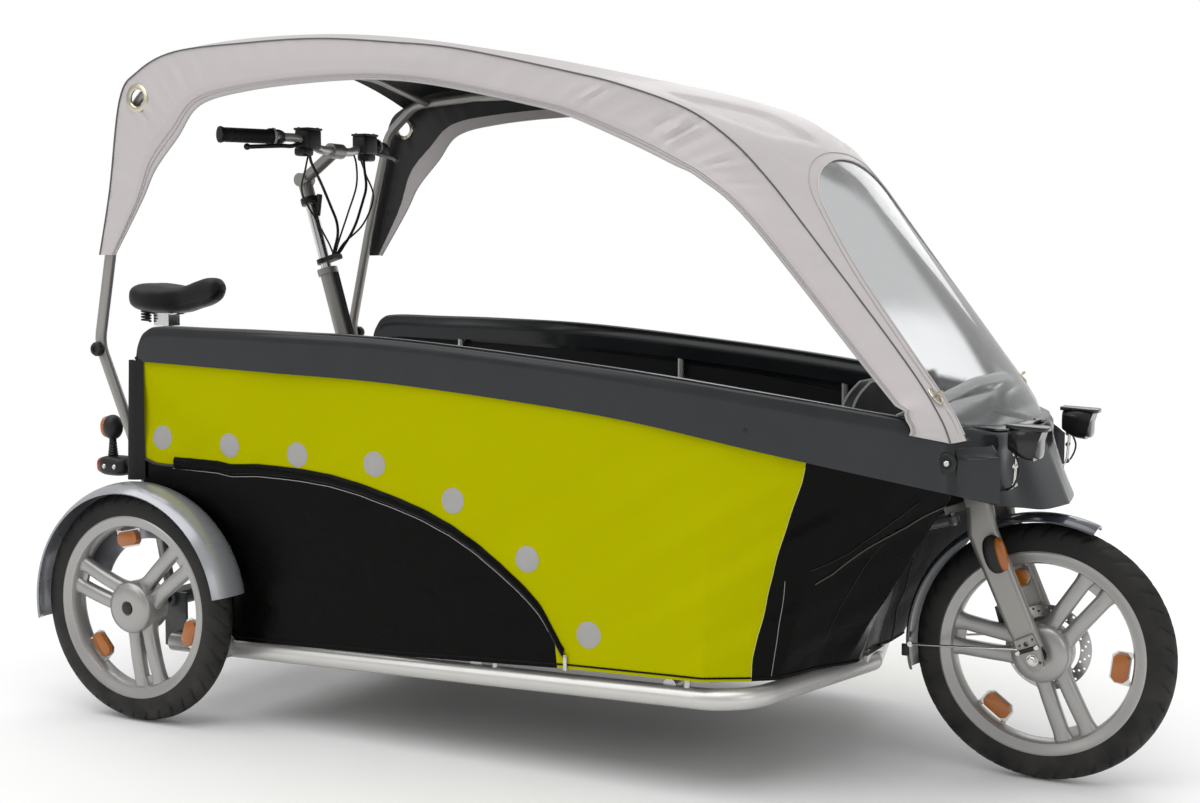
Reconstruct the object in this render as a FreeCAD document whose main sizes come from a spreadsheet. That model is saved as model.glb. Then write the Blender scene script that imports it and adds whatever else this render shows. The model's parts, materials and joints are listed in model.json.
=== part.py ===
"""Child-carrying cargo tricycle: one steered wheel in front, two wheels behind, the rider behind the tub.

Millimetres, +X forward, +Y to the rider's left, +Z up. The origin is on the ground under the middle
of the vehicle. Driving dimensions are in the spreadsheet "Sizes"; every sub-part is an object of its
own whose Label is the name of its file in parts/.
"""

import FreeCAD
import Part
import math
import os

from FreeCAD import Placement, Rotation, Vector

doc = FreeCAD.newDocument("CargoTricycle")
sheet = doc.addObject("Spreadsheet::Sheet", "Sizes")

# Columns: alias, value in mm (angles in degrees), meaning.
SIZES = [
    ("wheelbase", 1963, "front axle to rear axle"),
    ("rear_overhang", 475, "rear axle to the saddle's rear edge"),
    ("rear_track", 1102, "between the middles of the rear wheels"),
    ("tyre_radius", 268.4, "tyre's outer radius"),
    ("tyre_width", 62, "tyre's width"),
    ("rim_radius", 214, "rim flange's outer radius"),
    ("rim_seat_radius", 203, "radius on which the tyre sits"),
    ("rim_inner_radius", 184, "inside of the cast rim"),
    ("rim_width", 56, "rim over its flanges"),
    ("hub_radius", 60, "cast hub's radius"),
    ("hub_width", 86, "cast hub's width"),
    ("spoke_width", 36, "one bar of a spoke pair, in the wheel's plane"),
    ("spoke_depth", 30, "one bar of a spoke pair, along the axle"),
    ("spoke_spacing", 56, "between the middles of a pair's bars"),
    ("spoke_pairs", 3, "pairs of spokes"),
    ("front_spoke_angle", 53.5, "first pair on the front wheel, above forward"),
    ("rear_spoke_angle", 41.5, "first pair on the rear wheels, above forward"),
    ("reflector_length", 64, "wheel reflector along the rim"),
    ("reflector_height", 40, "wheel reflector across"),
    ("reflector_depth", 12, "wheel reflector along the axle"),
    ("front_axle_radius", 7, "front axle"),
    ("rear_shaft_radius", 11, "rear half shaft"),
    ("half_shaft_depth", 60, "rear half shaft's length inside the axle housing"),
    ("running_gap", 0.6, "radial gap of a turning shaft in its seat"),
    ("seat_gap", 0.3, "gap between a piece and the curved or soft seat that it rests on"),
    ("brake_disc_radius", 90, "front brake disc"),
    ("brake_disc_thickness", 2.5, "front brake disc"),
    ("steering_tilt", 17, "steering axis and column lean back from the vertical"),
    ("fork_offset", 26, "axle ahead of the steering axis"),
    ("fork_leg_spacing", 150, "between the middles of the fork's legs"),
    ("fork_leg_width", 64, "leg, fore and aft"),
    ("fork_leg_thickness", 26, "leg, across"),
    ("crown_height", 330, "along the steering axis, from the axle's level to the crown's underside"),
    ("crown_thickness", 26, "fork crown"),
    ("head_tube_length", 105, "frame's head tube"),
    ("head_tube_radius", 22, "frame's head tube"),
    ("steerer_radius", 15, "fork's steerer"),
    ("steering_arm_back", 58, "steering arm's pin behind its axis"),
    ("steering_arm_side", 85, "steering arm's pin to the right of its axis"),
    ("fork_arm_height", 312, "along the steering axis, to the rod's middle at the fork"),
    ("rod_radius", 11, "steering rod"),
    ("rod_eye_radius", 13, "steering rod's eyes"),
    ("rod_pin_radius", 5, "pins of the steering rod"),
    ("front_fender_radius", 291, "front fender's outer radius"),
    ("rear_fender_radius", 290, "rear fender's outer radius"),
    ("front_fender_width", 84, "front fender"),
    ("rear_fender_width", 112, "rear fender"),
    ("fender_wall", 3, "fenders' wall"),
    ("floor_height", 246, "top of the floor above the ground"),
    ("floor_thickness", 12, "floor panel"),
    ("fixing_setback", 1290, "front axle back to the middle of the floor's fixing holes"),
    ("fixing_side", 84, "middle plane to the middle of the floor's fixing holes"),
    ("fixing_length", 240, "floor's fixing holes, fore and aft"),
    ("fixing_width", 100, "floor's fixing holes, across"),
    ("fixing_radius", 4.5, "floor's fixing holes"),
    ("side_tube_radius", 22, "lower side tubes"),
    ("side_tube_half_width", 458, "middle of the vehicle to the middle of a lower side tube"),
    ("side_tube_rear_height", 168, "lower side tube's middle at the rear axle"),
    ("side_tube_front_height", 206, "lower side tube's middle at its front bend"),
    ("tube_corner_setback", 484, "front axle back to the corner of a lower side tube"),
    ("prow_setback", 370, "front axle back to where the lower side tubes meet"),
    ("spine_radius", 15, "tube from the head tube down to the prow"),
    ("spine_setback", 392, "front axle back to the foot of that tube"),
    ("cross_tube_radius", 14, "cross tubes under the floor"),
    ("rim_wall", 4, "moulded tub rim's wall"),
    ("rim_ledge", 34, "width of the tub rim's top"),
    ("rim_lip", 62, "height of the tub rim's inner lip"),
    ("rim_rear_overhang", 52, "tub rim's rear end behind the rear axle"),
    ("rim_end_radius", 70, "rounding of the tub rim's rear ends, seen from the side"),
    ("deck_setback", 128, "front axle back to the nose deck's rear edge"),
    ("cloth_thickness", 3, "tub cloth and canopy cloth"),
    ("canopy_tube_radius", 13, "canopy frame"),
    ("axle_housing_radius", 22, "rear axle housing"),
    ("axle_housing_half", 455, "half the rear axle housing's length"),
    ("crank_setback", 252, "rear axle back to the crank axle"),
    ("crank_height", 320, "crank axle above the ground"),
    ("crank_length", 160, "crank arm"),
    ("crank_axle_radius", 8.5, "crank axle"),
    ("crank_shell_radius", 20, "bottom bracket shell"),
    ("crank_shell_half", 36, "half the bottom bracket shell's width"),
    ("crank_arm_offset", 78, "middle plane to the middle of a crank arm"),
    ("crank_arm_thickness", 13, "crank arm"),
    ("pedal_length", 92, "pedal fore and aft"),
    ("pedal_width", 95, "pedal across"),
    ("pedal_thickness", 24, "pedal"),
    ("pedal_axle_radius", 6, "pedal axle"),
    ("seat_setback", 400, "rear axle back to the seat clamp"),
    ("seat_clamp_height", 905, "seat clamp above the ground"),
    ("seat_tube_radius", 17, "frame's seat tube"),
    ("seat_post_radius", 13.6, "seat post"),
    ("saddle_length", 268, "saddle"),
    ("saddle_width", 205, "saddle"),
    ("saddle_rise", 103, "seat clamp up to the saddle's top"),
    ("column_setback", 1583, "front axle back to the steering column's axis at the floor"),
    ("column_radius", 21, "steering column"),
    ("column_top_height", 1052, "steering column's top above the ground"),
    ("shaft_radius", 14, "handlebar's steering shaft"),
    ("stem_height", 1272, "stem's hinge above the ground"),
    ("stem_reach", 98, "stem's hinge forward to the bar's middle"),
    ("stem_rise", 70, "stem's hinge up to the bar's middle"),
    ("bar_radius", 11, "handlebar"),
    ("bar_sweep_start", 150, "middle of the handlebar to where it sweeps back"),
    ("bar_half_width", 326, "middle of the handlebar to a grip's end"),
    ("bar_sweep_back", 88, "bar's middle back to a grip's end"),
    ("bar_rise", 24, "bar's middle up to its swept ends"),
    ("grip_radius", 17, "grips"),
    ("grip_length", 132, "grips"),
    ("control_box", 44, "edge of a control box on the handlebar"),
    ("cable_radius", 3.5, "control cables"),
    ("lamp_spacing", 452, "between the two head lamps"),
    ("lamp_height", 728, "head lamps above the ground"),
    ("lamp_lead", 8, "front axle forward to the head lamps' middle"),
    ("bench_height", 500, "bench top above the ground"),
    ("bench_width", 270, "bench"),
    ("bench_front_setback", 510, "front axle back to the benches' front"),
    ("bench_rear_setback", 1420, "front axle back to the benches' rear"),
    ("bench_board", 15, "bench board"),
    ("cushion_thickness", 40, "bench cushion"),
]

for row, (alias, number, meaning) in enumerate(SIZES, start=1):
    sheet.set(f"A{row}", meaning)
    sheet.set(f"B{row}", str(number))
    sheet.setAlias(f"B{row}", alias)
doc.recompute()


def size(alias):
    """Value of a driving dimension."""
    return float(getattr(sheet, alias))


# ---------------------------------------------------------------- places that many pieces share

FRONT_X = (size("wheelbase") + size("rear_overhang") - size("tyre_radius")) / 2
REAR_X = FRONT_X - size("wheelbase")
AXLE_Z = size("tyre_radius")
TILT = math.radians(size("steering_tilt"))
TILT_TURN = Rotation(Vector(0, 1, 0), -size("steering_tilt"))
FORK_FRAME = Placement(
    Vector(FRONT_X - size("fork_offset") * math.cos(TILT), 0, AXLE_Z - size("fork_offset") * math.sin(TILT)),
    TILT_TURN,
)
COLUMN_FRAME = Placement(Vector(FRONT_X - size("column_setback"), 0, size("floor_height")), TILT_TURN)

NODES = []


def register(item, label):
    """Name a finished sub-part, which part.py then writes."""
    item.Label = label
    NODES.append(item)
    return item


def add_shape(label, shapes):
    """A sub-part whose shape comes from Part's own functions."""
    item = doc.addObject("Part::Feature", label + "_shape")
    item.Shape = shapes if isinstance(shapes, Part.Shape) else Part.makeCompound(shapes)
    return register(item, label)


def fuse(shapes):
    """One solid from overlapping solids."""
    whole = shapes[0]
    for shape in shapes[1:]:
        whole = whole.fuse(shape)
    return whole.removeSplitter()


def mirror_y(shape):
    """The same piece on the other side."""
    return shape.mirror(Vector(0, 0, 0), Vector(0, 1, 0))


def from_front(x, y, z):
    """Point given from the front axle's ground point."""
    return Vector(FRONT_X + x, y, z)


def from_rear(x, y, z):
    """Point given from the rear axle's ground point."""
    return Vector(REAR_X + x, y, z)


def rod_between(start, end, radius):
    """Round bar from one point to another."""
    run = end - start
    return Part.makeCylinder(radius, run.Length, start, run)


def block(centre, length, width, height):
    """Box about its centre."""
    corner = centre - Vector(length / 2, width / 2, height / 2)
    return Part.makeBox(length, width, height, corner)


def prism_y(points, y_low, y_high):
    """Outline in the XZ plane, extruded across."""
    wire = Part.makePolygon([Vector(x, y_low, z) for x, z in points + points[:1]])
    return Part.Face(wire).extrude(Vector(0, y_high - y_low, 0))


def prism_z(points, z_low, z_high):
    """Outline in plan, extruded upward."""
    wire = Part.makePolygon([Vector(x, y, z_low) for x, y in points + points[:1]])
    return Part.Face(wire).extrude(Vector(0, 0, z_high - z_low))


def bent_bar(points, radius, bend):
    """Round bar through points, with each corner rounded by at most the given bend radius."""
    edges = []
    start = points[0]
    for before, corner, after in zip(points, points[1:], points[2:]):
        inward = (before - corner).normalize()
        outward = (after - corner).normalize()
        half = (math.pi - inward.getAngle(outward)) / 2
        room = 0.48 * min((before - corner).Length, (after - corner).Length)
        reach = min(bend * math.tan(half), room)
        first = corner + inward * reach
        last = corner + outward * reach
        depth = reach / math.tan(half) * (1 / math.cos(half) - 1)
        middle = corner + (inward + outward).normalize() * depth
        edges.append(Part.makeLine(start, first))
        edges.append(Part.Arc(first, middle, last).toShape())
        start = last
    edges.append(Part.makeLine(start, points[-1]))
    path = Part.Wire(edges)
    ring = Part.Wire(Part.makeCircle(radius, points[0], points[1] - points[0]))
    return path.makePipeShell([ring], True, False)


def sheet_loft(sections):
    """Thin solid through four-cornered sections, each a list of four points."""
    wires = [Part.makePolygon(corners + corners[:1]) for corners in sections]
    return Part.makeLoft(wires, True, True)


def stadium_wire(centre, length, width, along, across):
    """Flat oval section about a centre, its length and width along two directions."""
    flat = (length - width) / 2
    a = centre + along * flat + across * (width / 2)
    b = centre + along * (length / 2)
    c = centre + along * flat - across * (width / 2)
    d = centre - along * flat - across * (width / 2)
    e = centre - along * (length / 2)
    f = centre - along * flat + across * (width / 2)
    return Part.Wire([Part.Arc(a, b, c).toShape(), Part.makeLine(c, d), Part.Arc(d, e, f).toShape(),
                      Part.makeLine(f, a)])


# ---------------------------------------------------------------- wheels


def plane_of(body, role):
    """One of a body's own origin planes or axes."""
    return next(item for item in body.Origin.OriginFeatures if item.Role == role)


def wheel_sketch(body, name, outline):
    """Closed outline in the body's XY plane: x is the wheel's radius, y runs along its axle."""
    sketch = body.newObject("Sketcher::SketchObject", name)
    sketch.AttachmentSupport = [(plane_of(body, "XY_Plane"), "")]
    sketch.MapMode = "FlatFace"
    for start, end in zip(outline, outline[1:] + outline[:1]):
        sketch.addGeometry(Part.LineSegment(Vector(*start, 0), Vector(*end, 0)), False)
    return sketch


def turned(body, name, outline):
    """Ring turned about the body's Y axis from an outline of (radius, y) points."""
    sketch = wheel_sketch(body, name + "Outline", outline)
    ring = body.newObject("PartDesign::Revolution", name)
    ring.Profile = sketch
    ring.ReferenceAxis = (plane_of(body, "Y_Axis"), [""])
    ring.Angle = 360
    return ring


def cast_wheel(label, centre, angle, bore, shaft_from=0, shaft_to=0):
    """Cast wheel: rim, hub and pairs of spokes; a driven wheel has a shaft between two places on its axle."""
    body = doc.addObject("PartDesign::Body", label + "_body")
    half = size("rim_width") / 2
    seat = size("rim_seat_radius")
    inner = size("rim_inner_radius")
    turned(body, label + "_rim", [
        (inner, -half), (size("rim_radius"), -half), (size("rim_radius"), -half + 5), (seat, -half + 9),
        (seat, half - 9), (size("rim_radius"), half - 5), (size("rim_radius"), half), (inner, half),
        (inner + 4, half - 12), (inner + 4, -half + 12),
    ])
    hub_half = size("hub_width") / 2
    turned(body, label + "_hub", [
        (bore, -hub_half), (size("hub_radius") - 6, -hub_half), (size("hub_radius"), -hub_half + 6),
        (size("hub_radius"), hub_half - 6), (size("hub_radius") - 6, hub_half), (bore, hub_half),
    ])
    if shaft_from != shaft_to:
        low_end, high_end = sorted((shaft_from, shaft_to))
        turned(body, label + "_shaft", [
            (0, low_end), (size("rear_shaft_radius"), low_end), (size("rear_shaft_radius"), high_end),
            (0, high_end),
        ])
    sketch = body.newObject("Sketcher::SketchObject", label + "_spokeOutline")
    sketch.AttachmentSupport = [(plane_of(body, "XZ_Plane"), "")]
    sketch.MapMode = "FlatFace"
    low = size("hub_radius") - 22
    high = inner + 3
    for middle in (-size("spoke_spacing") / 2, size("spoke_spacing") / 2):
        corners = [
            (low, middle * 0.72 - size("spoke_width") / 2), (high, middle - size("spoke_width") / 2),
            (high, middle + size("spoke_width") / 2), (low, middle * 0.72 + size("spoke_width") / 2),
        ]
        for start, end in zip(corners, corners[1:] + corners[:1]):
            sketch.addGeometry(Part.LineSegment(Vector(*start, 0), Vector(*end, 0)), False)
    spokes = body.newObject("PartDesign::Pad", label + "_spokes")
    spokes.Profile = sketch
    spokes.setExpression("Length", "Sizes.spoke_depth")
    spokes.Midplane = True
    pairs = body.newObject("PartDesign::PolarPattern", label + "_pairs")
    pairs.Originals = [spokes]
    pairs.Axis = (plane_of(body, "Y_Axis"), [""])
    pairs.Angle = 360
    pairs.setExpression("Occurrences", "Sizes.spoke_pairs")
    body.Tip = pairs
    body.Placement = Placement(centre, Rotation(Vector(0, 1, 0), -angle))
    return register(body, label)


def tyre(label, centre):
    """Tyre: a turned ring with a rounded crown."""
    half = size("tyre_width") / 2
    seat = size("rim_seat_radius") + size("seat_gap")
    bead = size("rim_width") / 2 - 9.5
    crown = size("tyre_radius")
    shoulder = crown - 13
    bulge = (seat + crown) / 2 + 2
    left = [Vector(seat, 0, bead), Vector(size("rim_radius") + 1, 0, bead + 4),
            Vector(bulge, 0, half), Vector(shoulder, 0, half - 5)]
    right = [Vector(p.x, 0, -p.z) for p in reversed(left)]
    edges = [Part.makeLine(a, b) for a, b in zip(left, left[1:])]
    edges.append(Part.Arc(left[-1], Vector(crown, 0, 0), right[0]).toShape())
    edges += [Part.makeLine(a, b) for a, b in zip(right, right[1:])]
    edges.append(Part.makeLine(right[-1], left[0]))
    ring = Part.Face(Part.Wire(edges)).revolve(Vector(0, 0, 0), Vector(0, 0, 1), 360)
    ring.rotate(Vector(0, 0, 0), Vector(1, 0, 0), 90)
    ring.translate(centre)
    return add_shape(label, ring)


def wheel_reflectors(label, centre, angle):
    """Flat reflectors between the spoke pairs, on the rim's inside."""
    pieces = []
    for number in range(int(size("spoke_pairs"))):
        turn = angle + (number + 0.5) * 360 / size("spoke_pairs")
        reach = size("rim_inner_radius") - size("reflector_height") / 2 - 6
        plate = block(Vector(reach, 0, 0), size("reflector_height"), size("reflector_depth"),
                      size("reflector_length"))
        foot_reach = size("rim_inner_radius") - 2
        foot = block(Vector(foot_reach, 0, 0), 12, size("reflector_depth"), size("reflector_length") * 0.5)
        rim_inside = Part.makeCylinder(size("rim_inner_radius") + 4 - size("seat_gap"), 60,
                                       Vector(0, 30, 0), Vector(0, -1, 0))
        whole = fuse([plate, foot]).common(rim_inside)
        whole.rotate(Vector(0, 0, 0), Vector(0, 1, 0), -turn)
        whole.translate(centre)
        pieces.append(whole)
    return add_shape(label, pieces)


FRONT_CENTRE = Vector(FRONT_X, 0, AXLE_Z)
front_bore = size("front_axle_radius") + size("running_gap")
cast_wheel("front_cast_wheel", FRONT_CENTRE, size("front_spoke_angle"), front_bore)
tyre("front_tyre", FRONT_CENTRE)
wheel_reflectors("front_wheel_reflectors", FRONT_CENTRE, size("front_spoke_angle"))

disc_y = size("hub_width") / 2
brake_disc = Part.makeCylinder(size("brake_disc_radius"), size("brake_disc_thickness"),
                               FRONT_CENTRE + Vector(0, disc_y, 0), Vector(0, 1, 0))
brake_disc = brake_disc.cut(Part.makeCylinder(front_bore + 12, 20, FRONT_CENTRE + Vector(0, disc_y - 5, 0),
                                              Vector(0, 1, 0)))
add_shape("front_brake_disc", brake_disc)

for side_name, side in (("left", 1), ("right", -1)):
    centre = Vector(REAR_X, side * size("rear_track") / 2, AXLE_Z)
    shaft_outer = side * size("hub_width") / 2
    shaft_inner = side * (size("axle_housing_half") - size("half_shaft_depth") - size("rear_track") / 2)
    cast_wheel("rear_cast_wheel_" + side_name, centre, size("rear_spoke_angle"), 0, shaft_outer, shaft_inner)
    tyre("rear_tyre_" + side_name, centre)
    wheel_reflectors("rear_wheel_reflectors_" + side_name, centre, size("rear_spoke_angle"))

# ---------------------------------------------------------------- fork, which turns about the tilted axis


def in_fork(shape):
    """Shape drawn about the fork's own axis, put in its place."""
    placed = shape.copy()
    placed.Placement = FORK_FRAME.multiply(placed.Placement)
    return placed


crown_low = size("crown_height")
crown_high = crown_low + size("crown_thickness")
leg_y = size("fork_leg_spacing") / 2
# Columns: forward of the steering axis, height along it, leg width, leg thickness.
LEG_SECTIONS = [
    (6, crown_high, 0.84, 1.0),
    (-8, crown_low - 55, 1.0, 1.0),
    (18, 62, 0.92, 0.96),
    (24, 22, 0.84, 0.6),
]
legs = []
for side in (-1, 1):
    wires = []
    for lead, height, width, share in LEG_SECTIONS:
        middle = Vector(lead, side * leg_y, height)
        leg_width = size("fork_leg_width") * width
        leg_thickness = size("fork_leg_thickness") * share
        wires.append(stadium_wire(middle, leg_width, leg_thickness, Vector(1, 0, 0), Vector(0, 1, 0)))
    legs.append(Part.makeLoft(wires, True, True))
    legs.append(block(Vector(size("fork_offset"), side * leg_y, 8), 36, 9, 52))
crown = block(Vector(-1, 0, (crown_low + crown_high) / 2), 46, 2 * leg_y + size("fork_leg_thickness"),
              size("crown_thickness"))
steerer_top = crown_high + 6 + size("head_tube_length") + 12
steerer = Part.makeCylinder(size("steerer_radius"), steerer_top - crown_low, Vector(0, 0, crown_low))
arm_pin = Vector(-size("steering_arm_back"), -size("steering_arm_side"), size("fork_arm_height"))
arm_low = size("fork_arm_height") + size("rod_radius") + 2
arm_plate = prism_z(
    [(-16, 0), (-16, -40), (arm_pin.x - 11, arm_pin.y - 9), (arm_pin.x - 11, arm_pin.y + 11), (-24, 0)],
    arm_low, crown_low + 10)
arm_stud = Part.makeCylinder(size("rod_pin_radius"), 26, Vector(arm_pin.x, arm_pin.y, arm_pin.z - 12))
fork_shape = fuse([crown, steerer, arm_plate, arm_stud] + legs)
axle_half = leg_y + 16
fork_axle = Part.makeCylinder(size("front_axle_radius"), 2 * axle_half,
                              Vector(size("fork_offset"), -axle_half, 0), Vector(0, 1, 0))
fork_shape = fuse([fork_shape, fork_axle])
add_shape("fork", in_fork(fork_shape))


def fender(centre, radius, width, low_angle, high_angle, crown_drop):
    """Curved shell about a wheel: low_angle and high_angle are degrees above forward."""
    wall = size("fender_wall")
    half = width / 2
    outer = [Vector(radius - crown_drop, 0, -half), Vector(radius, 0, 0), Vector(radius - crown_drop, 0, half)]
    inner = [Vector(p.x - wall, 0, p.z * (half - wall) / half) for p in outer]
    section = Part.Wire([
        Part.Arc(*outer).toShape(), Part.makeLine(outer[2], inner[2]),
        Part.Arc(inner[2], inner[1], inner[0]).toShape(), Part.makeLine(inner[0], outer[0])])
    shell = Part.Face(section).revolve(Vector(0, 0, 0), Vector(0, 0, 1), high_angle - low_angle)
    shell.rotate(Vector(0, 0, 0), Vector(1, 0, 0), 90)
    shell.rotate(Vector(0, 0, 0), Vector(0, 1, 0), -low_angle)
    shell.translate(centre)
    return shell


front_fender = fender(FRONT_CENTRE, size("front_fender_radius"), size("front_fender_width"), 68, 193, 14)
fender_post = rod_between(FORK_FRAME.multVec(Vector(0, 0, crown_low - 0.2)),
                          FORK_FRAME.multVec(Vector(0, 0, crown_low - 60)), 9)
fender_post = fender_post.cut(Part.makeCylinder(size("front_fender_radius") - 1, 100,
                                                FRONT_CENTRE - Vector(0, 50, 0), Vector(0, 1, 0)))
add_shape("front_fender", fuse([front_fender, fender_post]))

stay_pieces = []
stay_radius = 2.5
for side in (-1, 1):
    leg_face = leg_y + 0.36 * size("fork_leg_thickness") + size("seat_gap")
    fender_face = size("front_fender_width") / 2 + 0.2
    stay_start = FORK_FRAME.multVec(Vector(size("fork_offset") - 6, side * (leg_face + 3.9), 22))
    stay_end = FRONT_CENTRE + Vector(-size("front_fender_radius") + 20, side * (fender_face + 3), -6)
    stay = bent_bar([stay_start, (stay_start + stay_end) / 2 + Vector(0, side * 4, 0), stay_end], stay_radius, 60)
    eyes = [Part.makeCylinder(6, 6, place - Vector(0, side * 3, 0), Vector(0, side, 0))
            for place in (stay_start, stay_end)]
    stay_pieces.append(fuse([stay] + eyes))
add_shape("front_fender_stays", stay_pieces)

indicator_y = leg_y + size("fork_leg_thickness") / 2
front_indicators = []
for side in (-1, 1):
    base = Vector(10, side * (indicator_y + 12 + size("seat_gap")), crown_low - 70)
    foot = Part.makeCylinder(9, 12, base - Vector(0, side * 12, 0), Vector(0, side, 0))
    head = Part.makeCylinder(12, 68, base + Vector(14, side * 4, -34))
    bridge = block(base + Vector(5, side * 2, 0), 26, 16, 40)
    front_indicators.append(fuse([foot, bridge, head]))
add_shape("front_indicators", in_fork(Part.makeCompound(front_indicators)))

caliper_mid = Vector(size("fork_offset") - 62, disc_y + 1, 80)
caliper = block(caliper_mid, 44, 34, 52)
caliper_lug = block(caliper_mid + Vector(24, 24, 0), 44, 40, 26)
disc_slot = Part.makeCylinder(size("brake_disc_radius") + 3, size("brake_disc_thickness") + 3,
                              Vector(size("fork_offset"), disc_y - 1.5, 0), Vector(0, 1, 0))
caliper = fuse([caliper, caliper_lug.cut(Part.makeCylinder(
    size("brake_disc_radius") + 8, 2 * size("hub_width"), Vector(size("fork_offset"), -disc_y, 0), Vector(0, 1, 0)))])
caliper = caliper.cut(disc_slot).cut(fork_shape)
caliper = max(caliper.Solids, key=lambda solid: solid.Volume)
add_shape("front_brake_caliper", in_fork(caliper))

# ---------------------------------------------------------------- steering column, shaft, handlebar and rod


def in_column(shape):
    """Shape drawn about the column's own axis, put in its place."""
    placed = shape.copy()
    placed.Placement = COLUMN_FRAME.multiply(placed.Placement)
    return placed


def column_height(level):
    """Length along the column's axis from the floor to a height above the ground."""
    return (level - size("floor_height")) / math.cos(TILT)


column_top = column_height(size("column_top_height"))
shaft_low = -70
rod_drop = size("rod_radius") + 1.5
column_tube = Part.makeCylinder(size("column_radius"), column_top - 6, Vector(0, 0, 2))
column_collar = Part.makeCylinder(size("column_radius") + 5, 16, Vector(0, 0, column_top - 20))
column_foot = Part.makeCylinder(size("column_radius") + 22, 16, Vector(0, 0, 8))
column_bore = Part.makeCylinder(size("shaft_radius") + size("running_gap"), column_top + 200, Vector(0, 0, -100))
column_solid = in_column(fuse([column_tube, column_collar, column_foot]).cut(column_bore))
above_floor = block(Vector(FRONT_X - size("column_setback"), 0, size("floor_height") + 1000), 3000, 3000, 2000)
add_shape("steering_column", column_solid.common(above_floor))

stem_pivot_height = column_height(size("stem_height"))
shaft = Part.makeCylinder(size("shaft_radius"), stem_pivot_height - shaft_low, Vector(0, 0, shaft_low))
column_arm = prism_z(
    [(14, 14), (-14, 18), (-size("steering_arm_back") - 10, -size("steering_arm_side") + 6),
     (-size("steering_arm_back") - 2, -size("steering_arm_side") - 12), (16, -14)],
    shaft_low, shaft_low + 10)
column_stud = Part.makeCylinder(size("rod_pin_radius"), 30,
                                Vector(-size("steering_arm_back"), -size("steering_arm_side"), shaft_low - 20))
add_shape("steering_shaft", in_column(fuse([shaft, column_arm, column_stud])))

stem_pivot = COLUMN_FRAME.multVec(Vector(0, 0, stem_pivot_height))
bar_middle = stem_pivot + Vector(size("stem_reach"), 0, size("stem_rise"))
pivot_boss = Part.makeCylinder(17, 44, stem_pivot - Vector(0, 22, 0), Vector(0, 1, 0))
stem_body = rod_between(stem_pivot, bar_middle, 15)
bar_clamp = Part.makeCylinder(19, 46, bar_middle - Vector(0, 23, 0), Vector(0, 1, 0))
bar_hole = Part.makeCylinder(size("bar_radius") + size("seat_gap"), 60, bar_middle - Vector(0, 30, 0),
                             Vector(0, 1, 0))
shaft_socket = rod_between(COLUMN_FRAME.multVec(Vector(0, 0, stem_pivot_height - 62)), stem_pivot, 18)
shaft_hole = Part.makeCylinder(size("shaft_radius") + size("seat_gap"), stem_pivot_height + 300,
                               COLUMN_FRAME.multVec(Vector(0, 0, -300)),
                               COLUMN_FRAME.Rotation.multVec(Vector(0, 0, 1)))
stem_solid = fuse([pivot_boss, stem_body, bar_clamp, shaft_socket]).cut(bar_hole)
stem_solid = stem_solid.cut(shaft_hole)
add_shape("stem", stem_solid)


def bar_point(y):
    """Point on the swept handlebar at a distance to one side."""
    beyond = max(0.0, abs(y) - size("bar_sweep_start"))
    slope = size("bar_sweep_back") / (size("bar_half_width") - size("bar_sweep_start"))
    return bar_middle + Vector(-slope * beyond, y, size("bar_rise") * min(1.0, abs(y) / size("bar_sweep_start")))


bar_end = size("bar_half_width")
bar_corner = size("bar_sweep_start")
bar_points = [bar_point(-bar_end), bar_point(-bar_corner), bar_middle + Vector(0, -60, 0),
              bar_middle + Vector(0, 60, 0), bar_point(bar_corner), bar_point(bar_end)]
add_shape("handlebar", bent_bar(bar_points, size("bar_radius"), 70))
bar_space = bent_bar([bar_point(-bar_end - 20)] + bar_points[1:-1] + [bar_point(bar_end + 20)],
                     size("bar_radius") + size("seat_gap"), 70)

grips = []
levers = []
controls = []
cable_starts = []
for side in (-1, 1):
    end = bar_point(side * bar_end)
    inward = (bar_point(side * bar_corner) - end).normalize()
    sleeve = Part.makeCylinder(size("grip_radius"), size("grip_length"), end - inward * 4, inward)
    hole = Part.makeCylinder(size("bar_radius") + size("seat_gap"), size("grip_length"), end, inward)
    grips.append(sleeve.cut(hole))
    clamp_at = end + inward * (size("grip_length") + 12)
    clamp = Part.makeCylinder(17, 20, clamp_at - inward * 10, inward)
    clamp = clamp.cut(Part.makeCylinder(size("bar_radius") + size("seat_gap"), 60, clamp_at - inward * 30,
                                        inward))
    lever_start = clamp_at + Vector(24, 0, -16)
    lever_end = lever_start - inward * 118 + Vector(22, 0, -12)
    blade = rod_between(lever_start, lever_end, 5)
    ball = Part.makeSphere(8, lever_end)
    bracket = rod_between(clamp_at + Vector(12, 0, -9), lever_start + Vector(4, 0, -2), 8)
    bracket = bracket.cut(Part.makeCylinder(size("bar_radius") + size("seat_gap"), 80,
                                            clamp_at - inward * 40, inward))
    levers.append(fuse([clamp, bracket, blade, ball]))
    box_at = bar_point(side * (bar_corner - 32)) + Vector(6, 0, 6)
    box = block(box_at, size("control_box"), size("control_box"), size("control_box"))
    cable_starts.append(box_at - Vector(0, side * 6, size("control_box") / 2 + size("seat_gap")))
    controls.append(box.cut(bar_space))
add_shape("grips", grips)
add_shape("handlebar_controls", levers + controls)

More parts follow.
